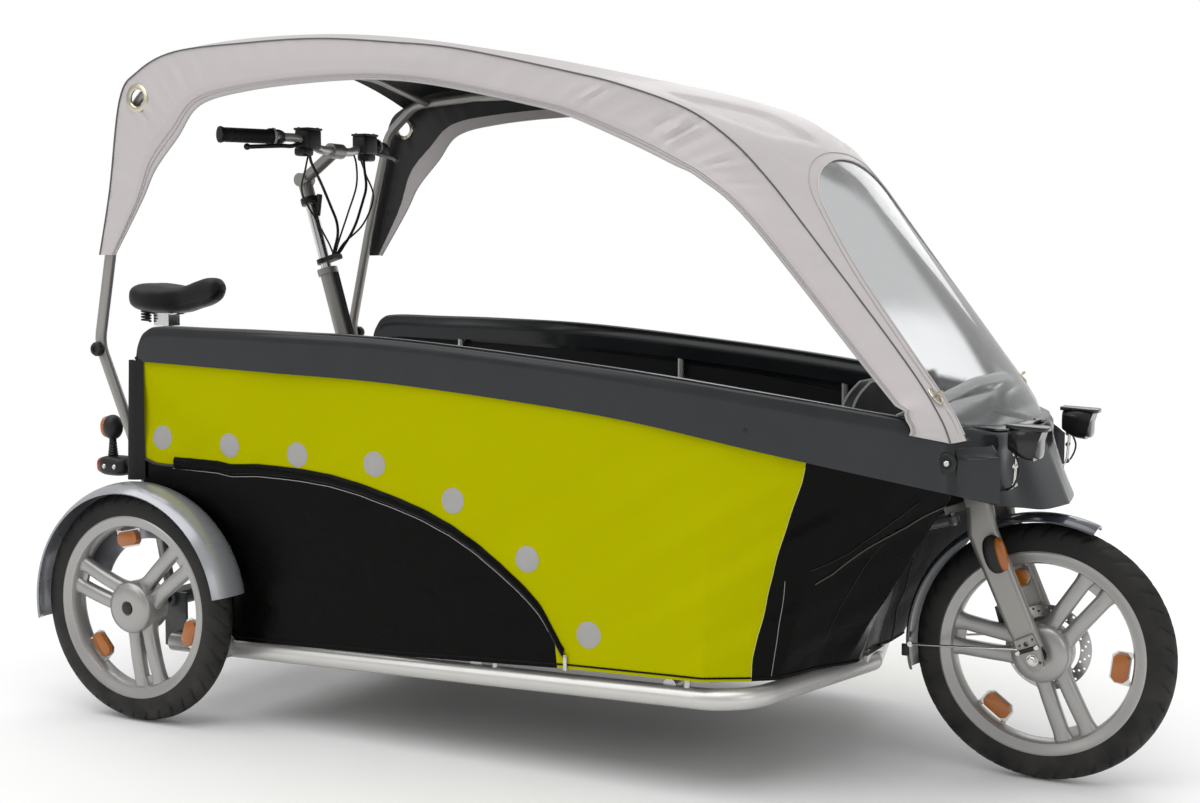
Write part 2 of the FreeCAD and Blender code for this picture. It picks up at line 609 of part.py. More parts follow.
clip_top = column_top + 22
clip_lead = 32
clip_hole = Part.makeCylinder(size("shaft_radius") + size("seat_gap"), 60, Vector(0, 0, clip_top - 40))
shaft_clip = fuse([Part.makeCylinder(size("shaft_radius") + 7, 12, Vector(0, 0, clip_top - 12)),
                   block(Vector(clip_lead / 2 + 5, 0, clip_top - 6), clip_lead + 10, 36, 12)]).cut(clip_hole)
shaft_clip = in_column(shaft_clip)
bar_cables = [shaft_clip]
for start in cable_starts:
    side = math.copysign(1, start.y)
    clip_end = COLUMN_FRAME.multVec(Vector(clip_lead, side * 9, clip_top - 4))
    route = [start, start - Vector(0, 0, 30), start - Vector(-22, side * 18, 90), clip_end + Vector(40, side * 22, 70), clip_end]
    cable = bent_bar(route, size("cable_radius"), 120).cut(shaft_clip)
    bar_cables.append(max(cable.Solids, key=lambda solid: solid.Volume))
add_shape("handlebar_cables", bar_cables)
cable_lead = size("column_radius") + size("cable_radius") + size("seat_gap")
column_cables = [in_column(Part.makeCylinder(size("cable_radius"), column_top - 20 - 24 - 2 * size("seat_gap"),
                                             Vector(cable_lead, y, 24 + size("seat_gap"))))
                 for y in (-size("cable_radius") - size("seat_gap"), size("cable_radius") + size("seat_gap"))]
add_shape("column_cables", column_cables)

rod_front = FORK_FRAME.multVec(arm_pin)
rod_rear = COLUMN_FRAME.multVec(Vector(-size("steering_arm_back"), -size("steering_arm_side"), shaft_low - rod_drop))
axis_up = TILT_TURN.multVec(Vector(0, 0, 1))
rod_bar = rod_between(rod_rear, rod_front, size("rod_radius"))
eyes = [Part.makeCylinder(size("rod_eye_radius"), 14, place - axis_up * 7, axis_up)
        for place in (rod_front, rod_rear)]
pin_holes = [Part.makeCylinder(size("rod_pin_radius") + size("running_gap"), 60, place - axis_up * 30, axis_up)
             for place in (rod_front, rod_rear)]
rod_solid = fuse([rod_bar] + eyes)
for hole in pin_holes:
    rod_solid = rod_solid.cut(hole)
add_shape("steering_rod", rod_solid)

# ---------------------------------------------------------------- lower frame

half_width = size("side_tube_half_width")
tube_rear = Vector(REAR_X + 20, half_width, size("side_tube_rear_height"))
tube_front_z = size("side_tube_front_height")
prow_x = FRONT_X - size("prow_setback")
tube_corner_x = FRONT_X - size("tube_corner_setback")


def side_tube_height(x):
    """Middle of a lower side tube above the ground, which rises evenly to the front."""
    share = (x - tube_rear.x) / (prow_x - tube_rear.x)
    return tube_rear.z + share * (tube_front_z - tube_rear.z)


loop_points = [tube_rear, Vector(tube_corner_x, half_width, side_tube_height(tube_corner_x)),
               Vector(prow_x, 0, tube_front_z)]
half_loop = bent_bar(loop_points, size("side_tube_radius"), 120)
floor_tubes = fuse([half_loop, mirror_y(half_loop)])
add_shape("lower_side_tubes", floor_tubes)

# Columns: distance behind the front axle.
CROSS_TUBES = [640, 1100, 1500, 1790]
floor_underside = size("floor_height") - size("floor_thickness")
cross_tubes = []
for setback in CROSS_TUBES:
    x = FRONT_X - setback
    z = floor_underside - size("cross_tube_radius")
    low = side_tube_height(x)
    bar = rod_between(Vector(x, -half_width, z), Vector(x, half_width, z), size("cross_tube_radius"))
    saddles = [block(Vector(x, side * (half_width - 10), (low + z) / 2), 2 * size("cross_tube_radius"), 20, z - low)
               for side in (-1, 1)]
    piece = fuse([bar] + saddles).cut(floor_tubes)
    cross_tubes.append(max(piece.Solids, key=lambda solid: solid.Volume))
add_shape("cross_tubes", cross_tubes)

floor_rear = REAR_X + 150
floor_half = half_width - 10
spine_foot = Vector(FRONT_X - size("spine_setback"), 0, tube_front_z)
spine_slot = Part.makeCylinder(size("spine_radius") + size("seat_gap"), 200, spine_foot)
prow_lead = (prow_x - tube_corner_x) / half_width
floor_corner_y = floor_half - 58
floor_tip_y = 30
floor_tip_x = prow_x - floor_tip_y * prow_lead - 8
floor_plan = [(floor_rear, -floor_half), (tube_corner_x - 69, -floor_half),
              (prow_x - floor_corner_y * prow_lead - 8, -floor_corner_y), (floor_tip_x, -floor_tip_y),
              (floor_tip_x, floor_tip_y), (prow_x - floor_corner_y * prow_lead - 8, floor_corner_y),
              (tube_corner_x - 69, floor_half), (floor_rear, floor_half)]
floor_panel = prism_z(floor_plan, floor_underside, size("floor_height"))
tunnel_middle = -70
rod_rise = (rod_front.z - rod_rear.z) / (rod_front.x - rod_rear.x)
rod_room = 30
tunnel_rear = rod_rear.x + (floor_underside - rod_room - rod_rear.z) / rod_rise
tunnel_inner_half = 56
tunnel_slot = block(Vector((prow_x + tunnel_rear) / 2, tunnel_middle, size("floor_height")),
                    prow_x - tunnel_rear, 2 * tunnel_inner_half, 60)
column_hole = in_column(Part.makeCylinder(size("column_radius") + 4, 200, Vector(0, 0, -100)))
floor_panel = floor_panel.cut(tunnel_slot).cut(column_hole).cut(spine_slot)
fixing_x = FRONT_X - size("fixing_setback")
for x in (fixing_x - size("fixing_length") / 2, fixing_x + size("fixing_length") / 2):
    for y in (size("fixing_side") - size("fixing_width") / 2, size("fixing_side") + size("fixing_width") / 2):
        floor_panel = floor_panel.cut(Part.makeCylinder(size("fixing_radius"), 60,
                                                        Vector(x, y, size("floor_height") - 40)))
add_shape("floor_panel", floor_panel.cut(floor_tubes))

# ---------------------------------------------------------------- tub rim, cloth and inner panels

# Columns: from the front axle, half width over the rim, top above the ground, lower edge above the ground.
RIM_STATIONS = [
    (-1.0, 492, 916, 833),
    (-1600, 496, 913, 819),
    (-1280, 482, 902, 805),
    (-800, 468, 860, 760),
    (-450, 450, 818, 702),
    (-170, 388, 776, 648),
    (-30, 268, 745, 606),
    (28, 120, 741, 584),
    (45, 0, 741, 580),
]
# Columns: station, then how far the nose's wall leans back and inwards from its lower edge to its top.
NOSE_LEAN = {-30: (20, 38), 28: (56, 8), 45: (66, 0)}
nose_low = 500
nose_high = 760
nose_reach = 0.7
RIM_REAR = -size("wheelbase") - size("rim_rear_overhang")
RIM_STATIONS[0] = (RIM_REAR,) + RIM_STATIONS[0][1:]


rim_wall = size("rim_wall")


def rim_outline(inset, rear_extra, z):
    """Rim's plan at a height as points, set inward by a distance, open ends run back by rear_extra."""
    half = []
    for index, (x, width, top, low) in enumerate(RIM_STATIONS):
        ahead = RIM_STATIONS[min(index + 1, len(RIM_STATIONS) - 1)]
        behind = RIM_STATIONS[max(index - 1, 0)]
        run = Vector(ahead[0] - behind[0], ahead[1] - behind[1], 0)
        if index == len(RIM_STATIONS) - 1:
            run = Vector(0, -1, 0)
        if index == 0:
            run = Vector(1, 0, 0)
        run.normalize()
        back, inward = NOSE_LEAN.get(x, (0, 0))
        share = (z - low) / (top - low)
        half.append(Vector(FRONT_X + x - back * share + run.y * inset, width - inward * share - run.x * inset, z))
    half[0].x -= rear_extra
    half[-1].y = 0
    return half + [Vector(p.x, -p.y, z) for p in reversed(half[:-1])]


def rim_plan_solid(inset, rear_extra=0.0):
    """Upright solid on the rim's plan, its nose leaning back, every wall made of flat triangles."""
    low, high = [rim_outline(inset, rear_extra, z) for z in (nose_low, nose_high)]
    high = [point + (point - below) * nose_reach for point, below in zip(high, low)]
    triangles = []
    tip = len(low) // 2
    for near, far in zip(range(len(low)), list(range(1, len(low))) + [0]):
        front, rear = (far, near) if near < tip else (near, far)
        triangles += [(low[front], low[rear], high[rear]), (low[front], high[rear], high[front])]
    walls = [Part.Face(Part.makePolygon([a, b, c, a])) for a, b, c in triangles]
    ends = [Part.Face(Part.makePolygon(ring + ring[:1])) for ring in (low, high)]
    return Part.Solid(Part.Shell(walls + ends)).removeSplitter()


def rim_band(top_drop, low_drop, rear_extra=0.0):
    """Solid across the vehicle between the rim's top line and lower line, seen from the side."""
    tops = [(FRONT_X + x, top - top_drop) for x, _w, top, _low in RIM_STATIONS]
    lows = [(FRONT_X + x, low - low_drop) for x, _w, _top, low in RIM_STATIONS]
    tops[-1] = (tops[-1][0] + rim_wall, tops[-1][1])
    lows[-1] = (lows[-1][0] + rim_wall, lows[-1][1])
    tops[0] = (tops[0][0] - rear_extra, tops[0][1])
    lows[0] = (lows[0][0] - rear_extra, lows[0][1])
    if not rear_extra:
        radius = size("rim_end_radius")
        rear_x, rear_top = tops[0]
        arc = [(rear_x + radius * (1 - math.cos(turn)), rear_top - radius * (1 - math.sin(turn)))
               for turn in (math.radians(a) for a in (0, 30, 60, 90))]
        tops = arc + tops[1:]
    return prism_y(tops + lows[::-1], -700, 700)


ledge = size("rim_ledge")
outer_solid = rim_plan_solid(0)
opening_solid = rim_plan_solid(ledge, 300)
inner_channel = rim_plan_solid(rim_wall, 300).cut(rim_plan_solid(ledge - rim_wall, 400))
rim_solid = outer_solid.common(rim_band(0, 0)).cut(opening_solid)
rim_solid = rim_solid.cut(inner_channel.common(rim_band(rim_wall, 200, 300)))
lip_cut = rim_plan_solid(rim_wall + 1, 300).common(rim_band(size("rim_lip"), 200, 300))
rim_solid = rim_solid.cut(lip_cut)
deck_x = FRONT_X - size("deck_setback")
deck_slab = rim_plan_solid(rim_wall / 2).common(rim_band(0, 0)).cut(rim_band(rim_wall, 200, 300))
deck_slab = deck_slab.common(block(Vector(deck_x + 500, 0, 700), 1000, 1000, 1000))
deck_opening = Part.makeCylinder(46, 400, Vector(FRONT_X - 75, 0, 600))
rim_solid = fuse([rim_solid, deck_slab]).cut(deck_opening)
add_shape("tub_rim", rim_solid)
rim_envelope = rim_plan_solid(-size("seat_gap")).common(rim_band(-size("seat_gap"), 0))


def rim_line(x):
    """Rim's half width, top and lower edge at a distance from the front axle."""
    for near, far in zip(RIM_STATIONS, RIM_STATIONS[1:]):
        if near[0] <= x <= far[0]:
            share = (x - near[0]) / (far[0] - near[0])
            return [a + share * (b - a) for a, b in zip(near[1:], far[1:])]
    raise ValueError(x)


cloth = size("cloth_thickness")
cloth_gap = rim_wall + size("seat_gap")
tuck = 22
# Columns: top and bottom corner of the side cloth, each from the front axle, half width and height;
# a top height of 0 is tucked up inside the rim.
CLOTH_STATIONS = [
    (-1983, 0, 0, -1983, 480, 520),
    (-1740, 0, 0, -1740, 481, 196),
    (-1280, 0, 0, -1280, 481, 212),
    (-845, 0, 0, -845, 480, 233),
    (-560, 0, 0, -560, 478, 240),
    (-440, 0, 0, -481, 418, 238),
    (-300, 0, 0, -436, 372, 237),
    (-190, 0, 0, -404, 256, 236),
    (-110, 306, 622, -366, 184, 236),
    (-201, 200, 555, -350, 150, 236),
    (-307, 50, 490, -362, 85, 228),
    (-316, 44, 478, -372, 46, 228),
]
rod_window = block(Vector(FRONT_X - 250, tunnel_middle, 528), 160, 2 * tunnel_inner_half, 76)
side_cloths = []
for side in (-1, 1):
    sections = []
    for top_x, top_width, top_z, low_x, low_width, low_z in CLOTH_STATIONS:
        rim_half, _rim_top, rim_low = rim_line(top_x)
        outer_top = Vector(FRONT_X + top_x, side * (top_width or rim_half - cloth_gap - 1.2),
                           top_z or rim_low + tuck)
        outer_low = Vector(FRONT_X + low_x, side * low_width, low_z)
        inward = Vector(0, -side * cloth, 0)
        if low_x > -500:
            inward = Vector(-cloth * 0.75, -side * cloth * 0.66, 0)
        if low_x > -366:
            inward = Vector(-cloth, -side * cloth * 0.2, 0)
        sections.append([outer_top, outer_low, outer_low + inward, outer_top + inward])
    whole = sheet_loft(sections).cut(rod_window)
    side_cloths.append(max(whole.Solids, key=lambda solid: solid.Volume))
add_shape("side_cloths", side_cloths)

# Columns: from the front axle, height: the lining strip between the two side cloths.
PROW_LINE = [(-372, 236), (-362, 282), (-345, 343), (-330, 410), (-312, 484)]
strip_half = 43
strip_points = [(FRONT_X + x, z) for x, z in PROW_LINE]
prow_strip = prism_y(strip_points + [(x - cloth, z) for x, z in strip_points[::-1]], -strip_half, strip_half)
add_shape("front_cloth", prow_strip.cut(rod_window))

tunnel_wall = 3
tunnel_front_x = FRONT_X - 410


def tunnel_prism(headroom, half, front_x, rear_x, low_z):
    """Wedge over the steering rod, its top at a distance above the rod's middle line."""
    top_front = rod_rear.z + rod_rise * (front_x - rod_rear.x) + headroom
    top_rear = rod_rear.z + rod_rise * (rear_x - rod_rear.x) + headroom
    points = [(front_x, low_z), (front_x, top_front), (rear_x, top_rear), (rear_x, low_z)]
    return prism_y(points, tunnel_middle - half, tunnel_middle + half)


tunnel = tunnel_prism(50 + tunnel_wall, tunnel_inner_half + tunnel_wall, tunnel_front_x, tunnel_rear,
                      size("floor_height"))
tunnel_space = tunnel_prism(50, tunnel_inner_half, tunnel_front_x + 50, tunnel_rear - 50, 100)
add_shape("steering_rod_cover", tunnel.cut(tunnel_space))

bench_front = FRONT_X - size("bench_front_setback")
bench_rear = FRONT_X - size("bench_rear_setback")
bench_middle = Vector((bench_front + bench_rear) / 2, 0, size("bench_height"))
bench_outer = half_width - 20
board = size("bench_board")
benches = []
cushions = []
for side in (-1, 1):
    bench_y = side * (bench_outer - size("bench_width") / 2)
    seat = block(bench_middle + Vector(0, bench_y, -board / 2), bench_front - bench_rear,
                 size("bench_width"), board)
    leg_height = size("bench_height") - size("floor_height") - board
    ends = [block(Vector(x, bench_y, size("floor_height") + leg_height / 2), board,
                  size("bench_width") - 30, leg_height)
            for x in (bench_rear + 60, (bench_front + bench_rear) / 2, bench_front - 20)]
    benches.append(fuse([seat] + ends))
    cushions.append(block(bench_middle + Vector(0, bench_y, size("cushion_thickness") / 2 + size("seat_gap")),
                          bench_front - bench_rear - 16, size("bench_width") - 14, size("cushion_thickness")))
add_shape("benches", benches)
add_shape("bench_cushions", cushions)

# Columns: half width, height above the floor: the backrest's outline on one side, from the floor up.
BACKREST_EDGE = [(205, 0), (262, 300), (290, 500), (276, 556), (214, 584)]
backrest_foot_x = FRONT_X - 455
backrest_lean = 120 / 584
backrest_thickness = 26
notch_side = tunnel_inner_half + tunnel_wall + 4
notch_top = 306


def backrest_point(y, rise):
    """Point on the backrest's rear face."""
    return Vector(backrest_foot_x + backrest_lean * rise, y, size("floor_height") + rise)


backrest_points = [backrest_point(-y, rise) for y, rise in BACKREST_EDGE]
backrest_points += [backrest_point(y, rise) for y, rise in BACKREST_EDGE[::-1]]
backrest_points += [backrest_point(tunnel_middle + notch_side, 0), backrest_point(tunnel_middle + notch_side, notch_top),
                    backrest_point(tunnel_middle - notch_side, notch_top), backrest_point(tunnel_middle - notch_side, 0)]
backrest_wire = Part.makePolygon(backrest_points + backrest_points[:1])
add_shape("front_backrest", Part.Face(backrest_wire).extrude(Vector(backrest_thickness, 0, 0)))

# Inner posts that carry the rim: distances behind the front axle.
rim_posts = []
for setback in (600, 1050, 1730):
    rim_half, rim_top, rim_low = rim_line(-setback)
    x = FRONT_X - setback
    foot = Vector(x, half_width, side_tube_height(x))
    head = Vector(x, rim_half - ledge / 2 - 4, rim_top - rim_wall - size("seat_gap"))
    post = rod_between(foot, head, 8).cut(floor_tubes)
    post = post.cut(rim_solid)
    post = max(post.Solids, key=lambda solid: solid.Volume)
    rim_posts += [post, mirror_y(post)]
add_shape("rim_posts", rim_posts)

rear_board_x = floor_rear + 30
rear_board = block(Vector(rear_board_x, 0, (size("floor_height") + 540) / 2), 12, 2 * half_width - 16,
                   540 - size("floor_height"))
add_shape("rear_board", rear_board)

# ---------------------------------------------------------------- canopy, its frame and the windscreen

# Columns: seam from the front axle, its height and half width; the crown's lead and rise over the seam;
# the side band's lower edge from the front axle, its height and half width.
CANOPY_STATIONS = [
    (-1956, 1495, 532, 0, 85, -1840, 1345, 532),
    (-1846, 1535, 532, 0, 75, -1773, 1415, 532),
    (-1641, 1544, 532, 0, 65, -1631, 1442, 532),
    (-1447, 1543, 530, 0, 45, -1430, 1453, 529),
    (-1264, 1526, 526, 0, 30, -1280, 1450, 526),
    (-1097, 1504, 517, 0, 20, -1140, 1431, 519),
    (-859, 1450, 480, 4, 20, -940, 1387, 506),
    (-752, 1421, 455, 7, 23, -850, 1361, 496),
    (-637, 1375, 405, 17, 32, -727, 1307, 475),
    (-554, 1315, 378, 38, 40, -640, 1264, 459),
    (-484, 1240, 358, 45, 40, -585, 1235, 450),
    (-405, 1140, 344, 47, 37, -485, 1149, 435),
    (-203, 884, 330, 49, 35, -265, 882, 405),
    (-131, 785, 330, 52, 32, -181, 769, 392),
    (-100, 731, 330, 80, 9, -161, 746, 390),
]
# Columns: outer edge from the front axle, its height; inner edge from the front axle, its height: the rear flaps.
FLAP_STATIONS = [
    (-2081, 1081, -2035, 1081),
    (-2046, 1230, -1949, 1206),
    (-2010, 1435, -1908, 1274),
]
# Columns: half width, height: the clear window's edge on one side, from the foot up to its middle.
WINDOW_EDGE = [(302, 700), (300, 800), (295, 930), (290, 1025), (280, 1090), (265, 1148), (240, 1208),
               (180, 1256), (90, 1283), (0, 1290)]
sheet_wall = size("cloth_thickness")


def arch_wire(x, z, half, lead, rise):
    """Closed arched strip across the vehicle: seam to seam over the crown, one wall thick."""
    outer = [from_front(x, -half, z), from_front(x + lead, 0, z + rise), from_front(x, half, z)]
    bulge = Vector(lead, 0, rise).normalize() * sheet_wall
    inner = [point - bulge for point in outer]
    return Part.Wire([Part.Arc(*outer).toShape(), Part.makeLine(outer[2], inner[2]),
                      Part.Arc(inner[2], inner[1], inner[0]).toShape(), Part.makeLine(inner[0], outer[0])])


def window_prism(grow):
    """Prism fore and aft through the clear window, its edge moved outward by a distance."""
    half = [(y + grow, z + grow) for y, z in WINDOW_EDGE[:-1]]
    edge = half + [(0, WINDOW_EDGE[-1][1] + grow)] + [(-y, z) for y, z in half[::-1]]
    wire = Part.makePolygon([from_front(-620, y, z) for y, z in edge + edge[:1]])
    return Part.Face(wire).extrude(Vector(800, 0, 0))


brow = 8
roof_sheet = Part.makeLoft([arch_wire(*row[:5]) for row in CANOPY_STATIONS[:brow + 1]], True, True)
front_sheet = Part.makeLoft([arch_wire(*row[:5]) for row in CANOPY_STATIONS[brow:]], True, True)
canopy_parts = [roof_sheet, front_sheet.cut(window_prism(size("seat_gap")))]
for side in (-1, 1):
    sections = []
    rows = [(outer_x, outer_z, CANOPY_STATIONS[0][2], inner_x, inner_z, CANOPY_STATIONS[0][2])
            for outer_x, outer_z, inner_x, inner_z in FLAP_STATIONS]
    rows += [row[:3] + row[5:] for row in CANOPY_STATIONS]
    for outer_x, outer_z, outer_half, inner_x, inner_z, inner_half in rows:
        outer = from_front(outer_x, side * outer_half, outer_z)
        inner = from_front(inner_x, side * inner_half, inner_z)
        inward = Vector(0, -side * sheet_wall, 0)
        sections.append([outer, inner, inner + inward, outer + inward])
    canopy_parts.append(sheet_loft(sections))
canopy_solid = fuse(canopy_parts).cut(rim_envelope)
canopy_solid = max(canopy_solid.Solids, key=lambda solid: solid.Volume)
add_shape("canopy_cloth", canopy_solid)
windscreen = front_sheet.common(window_prism(0)).cut(rim_envelope)
add_shape("windscreen", max(windscreen.Solids, key=lambda solid: solid.Volume))

# Columns: from the front axle, half width over the tube's middle, height.
CANOPY_TUBE = [
    (-1963, 440, 268), (-1992, 458, 480), (-2035, 486, 655), (-2118, 500, 872), (-2062, 506, 1140), (-1990, 506, 1420),
    (-1895, 504, 1500), (-1700, 501, 1514), (-1400, 496, 1512), (-1097, 488, 1474), (-859, 454, 1424),
    (-690, 404, 1368), (-600, 362, 1310), (-504, 336, 1222), (-262, 312, 910), (-190, 312, 795)]
canopy_tubes = []
for side in (-1, 1):
    route = [from_front(x, side * y, z) for x, y, z in CANOPY_TUBE]
    canopy_tubes.append(bent_bar(route, size("canopy_tube_radius"), 90))
# Cross hoops: from the front axle, half width, side height, crown's rise.
for x, half, z, rise in ((-1850, 490, 1500, 62), (-1097, 480, 1468, 22), (-604, 356, 1302, 34)):
    route = [from_front(x, -half, z), from_front(x, -half / 2, z + rise * 0.75), from_front(x, half / 2,
             z + rise * 0.75), from_front(x, half, z)]
    canopy_tubes.append(bent_bar(route, 9, 400))
housing_seat = Part.makeCylinder(size("axle_housing_radius"), 2000, Vector(REAR_X, -1000, AXLE_Z), Vector(0, 1, 0))
canopy_frame = fuse([max(tube.cut(housing_seat).Solids, key=lambda solid: solid.Volume) for tube in canopy_tubes])
add_shape("canopy_frame", canopy_frame)

hoop_route = [from_front(-205, -374, 768), from_front(-146, -250, 806), from_front(-126, -110, 828),
              from_front(-126, 110, 828), from_front(-146, 250, 806), from_front(-205, 374, 768)]
nose_hoop = max(bent_bar(hoop_route, 12, 160).cut(rim_solid).Solids, key=lambda solid: solid.Volume)
add_shape("nose_hoop", nose_hoop)

# ---------------------------------------------------------------- head tube and front frame

head_low = crown_high + 6
head_tube = Part.makeCylinder(size("head_tube_radius"), size("head_tube_length"), Vector(0, 0, head_low))
head_bore = Part.makeCylinder(size("steerer_radius") + size("running_gap"), 400, Vector(0, 0, head_low - 100))
head_middle = FORK_FRAME.multVec(Vector(0, 0, head_low + 78))
spine_route = [head_middle, from_front(-300, 0, 650), Vector(spine_foot.x, 0, 300), spine_foot]
frame_front = [bent_bar(spine_route, size("spine_radius"), 60)]
prow_socket = block(Vector(prow_x - 14, 0, tube_front_z + 12), 44, 110, 20)
frame_front.append(prow_socket)
head_frame = fuse([in_fork(head_tube)] + frame_front).cut(in_fork(head_bore)).cut(floor_tubes)
head_frame = max(head_frame.Solids, key=lambda solid: solid.Volume)
add_shape("head_frame", head_frame)

# ---------------------------------------------------------------- rear frame, axle and drive

housing_half = size("axle_housing_half")
housing = Part.makeCylinder(size("axle_housing_radius"), 2 * housing_half, Vector(REAR_X, -housing_half, AXLE_Z),
                            Vector(0, 1, 0))
hangers = [block(Vector(REAR_X + 14, side * (half_width - 16), (AXLE_Z + size("side_tube_rear_height")) / 2),
                 64, 8, AXLE_Z - size("side_tube_rear_height") + 30) for side in (-1, 1)]
axle_beam = fuse([housing] + hangers).cut(floor_tubes)
shaft_room = size("half_shaft_depth") + 6
for side in (-1, 1):
    axle_beam = axle_beam.cut(Part.makeCylinder(
        size("rear_shaft_radius") + size("running_gap"), shaft_room + 40,
        Vector(REAR_X, side * (housing_half - shaft_room), AXLE_Z), Vector(0, side, 0)))
axle_beam = max(axle_beam.Solids, key=lambda solid: solid.Volume)
add_shape("rear_axle_beam", axle_beam)

crank_centre = from_rear(-size("crank_setback"), 0, size("crank_height"))
shell_half = size("crank_shell_half")
crank_shell = Part.makeCylinder(size("crank_shell_radius"), 2 * shell_half,
                                crank_centre - Vector(0, shell_half, 0), Vector(0, 1, 0))
seat_clamp = from_rear(-size("seat_setback"), 0, size("seat_clamp_height"))
seat_run = (seat_clamp - crank_centre).normalize()
seat_tube_top = seat_clamp - seat_run * 110
seat_tube = rod_between(crank_centre, seat_tube_top, size("seat_tube_radius"))
stay_bars = []
beam_back = Vector(REAR_X - size("axle_housing_radius") + 4, 0, AXLE_Z)
for side in (-1, 1):
    stay_bars.append(rod_between(crank_centre + Vector(8, side * 22, 0), beam_back + Vector(0, side * 26, 0), 10))
brace_top = crank_centre + seat_run * 330
brace_foot = Vector(FRONT_X - 1790, 0, floor_underside - size("cross_tube_radius") - size("seat_gap"))
brace = rod_between(brace_top, brace_foot, 15)
rear_frame = fuse([crank_shell, seat_tube, brace] + stay_bars)
crank_bore = Part.makeCylinder(size("crank_axle_radius") + size("running_gap"), 400,
                               crank_centre - Vector(0, 200, 0), Vector(0, 1, 0))
post_bore = rod_between(seat_tube_top - seat_run * 200, seat_tube_top + seat_run * 50,
                        size("seat_post_radius") + size("seat_gap"))
rear_frame = rear_frame.cut(crank_bore).cut(post_bore)
for neighbour in [axle_beam, floor_panel] + cross_tubes:
    rear_frame = rear_frame.cut(neighbour)
rear_frame = max(rear_frame.Solids, key=lambda solid: solid.Volume)
add_shape("rear_frame", rear_frame)

seat_post = rod_between(seat_tube_top - seat_run * 190, seat_clamp, size("seat_post_radius"))
clamp_block = block(seat_clamp + Vector(0, 0, 4), 52, 44, 34)
rails = [bent_bar([seat_clamp + Vector(-62, side * 34, 44), seat_clamp + Vector(-34, side * 20, 20),
                   seat_clamp + Vector(44, side * 18, 20), seat_clamp + Vector(86, side * 14, 46)], 3.5, 20)
         for side in (-1, 1)]
seat_post = fuse([seat_post, clamp_block] + rails)
add_shape("seat_post", seat_post)

saddle_top = size("seat_clamp_height") + size("saddle_rise")
saddle_rear = from_rear(-size("rear_overhang"), 0, 0).x
saddle_length = size("saddle_length")
# Columns: share of the length from the rear, half width share, underside and top below the saddle's top.
SADDLE_STATIONS = [
    (0.0, 0.62, 60, 12),
    (0.10, 0.95, 76, 2),
    (0.30, 0.98, 78, 6),
    (0.55, 0.48, 70, 14),
    (0.80, 0.24, 58, 12),
    (1.0, 0.13, 44, 14),
]
saddle_wires = []
for share, spread, under, top in SADDLE_STATIONS:
    x = saddle_rear + share * saddle_length
    half = spread * size("saddle_width") / 2
    high = saddle_top - top
    low = saddle_top - under
    corners = [Vector(x, -half, low + 14), Vector(x, -half, high - 14), Vector(x, -half * 0.6, high),
               Vector(x, half * 0.6, high), Vector(x, half, high - 14), Vector(x, half, low + 14),
               Vector(x, half * 0.5, low), Vector(x, -half * 0.5, low)]
    saddle_wires.append(Part.makePolygon(corners + corners[:1]))
saddle = Part.makeLoft(saddle_wires, True, True)
for rail in rails:
    saddle = saddle.cut(rail)
saddle = saddle.cut(block(seat_clamp + Vector(0, 0, 4), 54, 46, 36))
add_shape("saddle", saddle)

case_y = -54
case_thickness = 22
ring_radius = 62
end_radius = 34


def case_outline(grow, y_low, y_high):
    """Chain case: hull of a large circle at the crank and a small one at the axle."""
    large = Part.makeCylinder(ring_radius + grow, y_high - y_low, Vector(crank_centre.x, y_low, crank_centre.z),
                              Vector(0, 1, 0))
    run = Vector(REAR_X - crank_centre.x, 0, AXLE_Z - crank_centre.z)
    slant = math.atan2(run.z, run.x)
    lean = math.asin((ring_radius - end_radius) / run.Length)
    corners = []
    for centre_point, radius, sign in ((crank_centre, ring_radius, 1), (Vector(REAR_X, 0, AXLE_Z), end_radius, 1),
                                       (Vector(REAR_X, 0, AXLE_Z), end_radius, -1), (crank_centre, ring_radius, -1)):
        turn = slant + sign * (math.pi / 2 - lean)
        corners.append((centre_point.x + (radius + grow) * math.cos(turn),
                        centre_point.z + (radius + grow) * math.sin(turn)))
    small = Part.makeCylinder(end_radius + grow, y_high - y_low, Vector(REAR_X, y_low, AXLE_Z), Vector(0, 1, 0))
    return fuse([large, small, prism_y(corners, y_low, y_high)])


chain_case = case_outline(0, case_y - case_thickness / 2, case_y + case_thickness / 2)
chain_case = chain_case.cut(Part.makeCylinder(size("crank_axle_radius") + 6, 300,
                                              crank_centre - Vector(0, 150, 0), Vector(0, 1, 0)))
chain_case = chain_case.cut(Part.makeCylinder(size("axle_housing_radius") + size("seat_gap"), 300,
                                              Vector(REAR_X, -150, AXLE_Z), Vector(0, 1, 0)))
add_shape("chain_case", chain_case)

arm_y = size("crank_arm_offset")
crank_axle = Part.makeCylinder(size("crank_axle_radius"), 2 * arm_y, crank_centre - Vector(0, arm_y, 0),
                               Vector(0, 1, 0))
crank_pieces = [crank_axle]
pedal_places = []
for side, turn in ((-1, 0), (1, 180)):
    direction = Vector(math.cos(math.radians(turn)), 0, math.sin(math.radians(turn)))
    tip = crank_centre + direction * size("crank_length")
    mid_y = Vector(0, side * arm_y, 0)
    arm = block(Vector(0, 0, 0), size("crank_length"), size("crank_arm_thickness"), 24)
    arm.rotate(Vector(0, 0, 0), Vector(0, 1, 0), -turn)
    arm.translate(crank_centre + direction * (size("crank_length") / 2) + mid_y)
    crank_pieces.append(arm)
    for place, radius in ((crank_centre, 20), (tip, 13)):
        crank_pieces.append(Part.makeCylinder(radius, size("crank_arm_thickness"),
                                              place + mid_y - Vector(0, size("crank_arm_thickness") / 2, 0),
                                              Vector(0, 1, 0)))
    axle_start = tip + mid_y
    crank_pieces.append(Part.makeCylinder(size("pedal_axle_radius"), size("pedal_width") + 14, axle_start,
                                          Vector(0, side, 0)))
    pedal_places.append((side, tip))
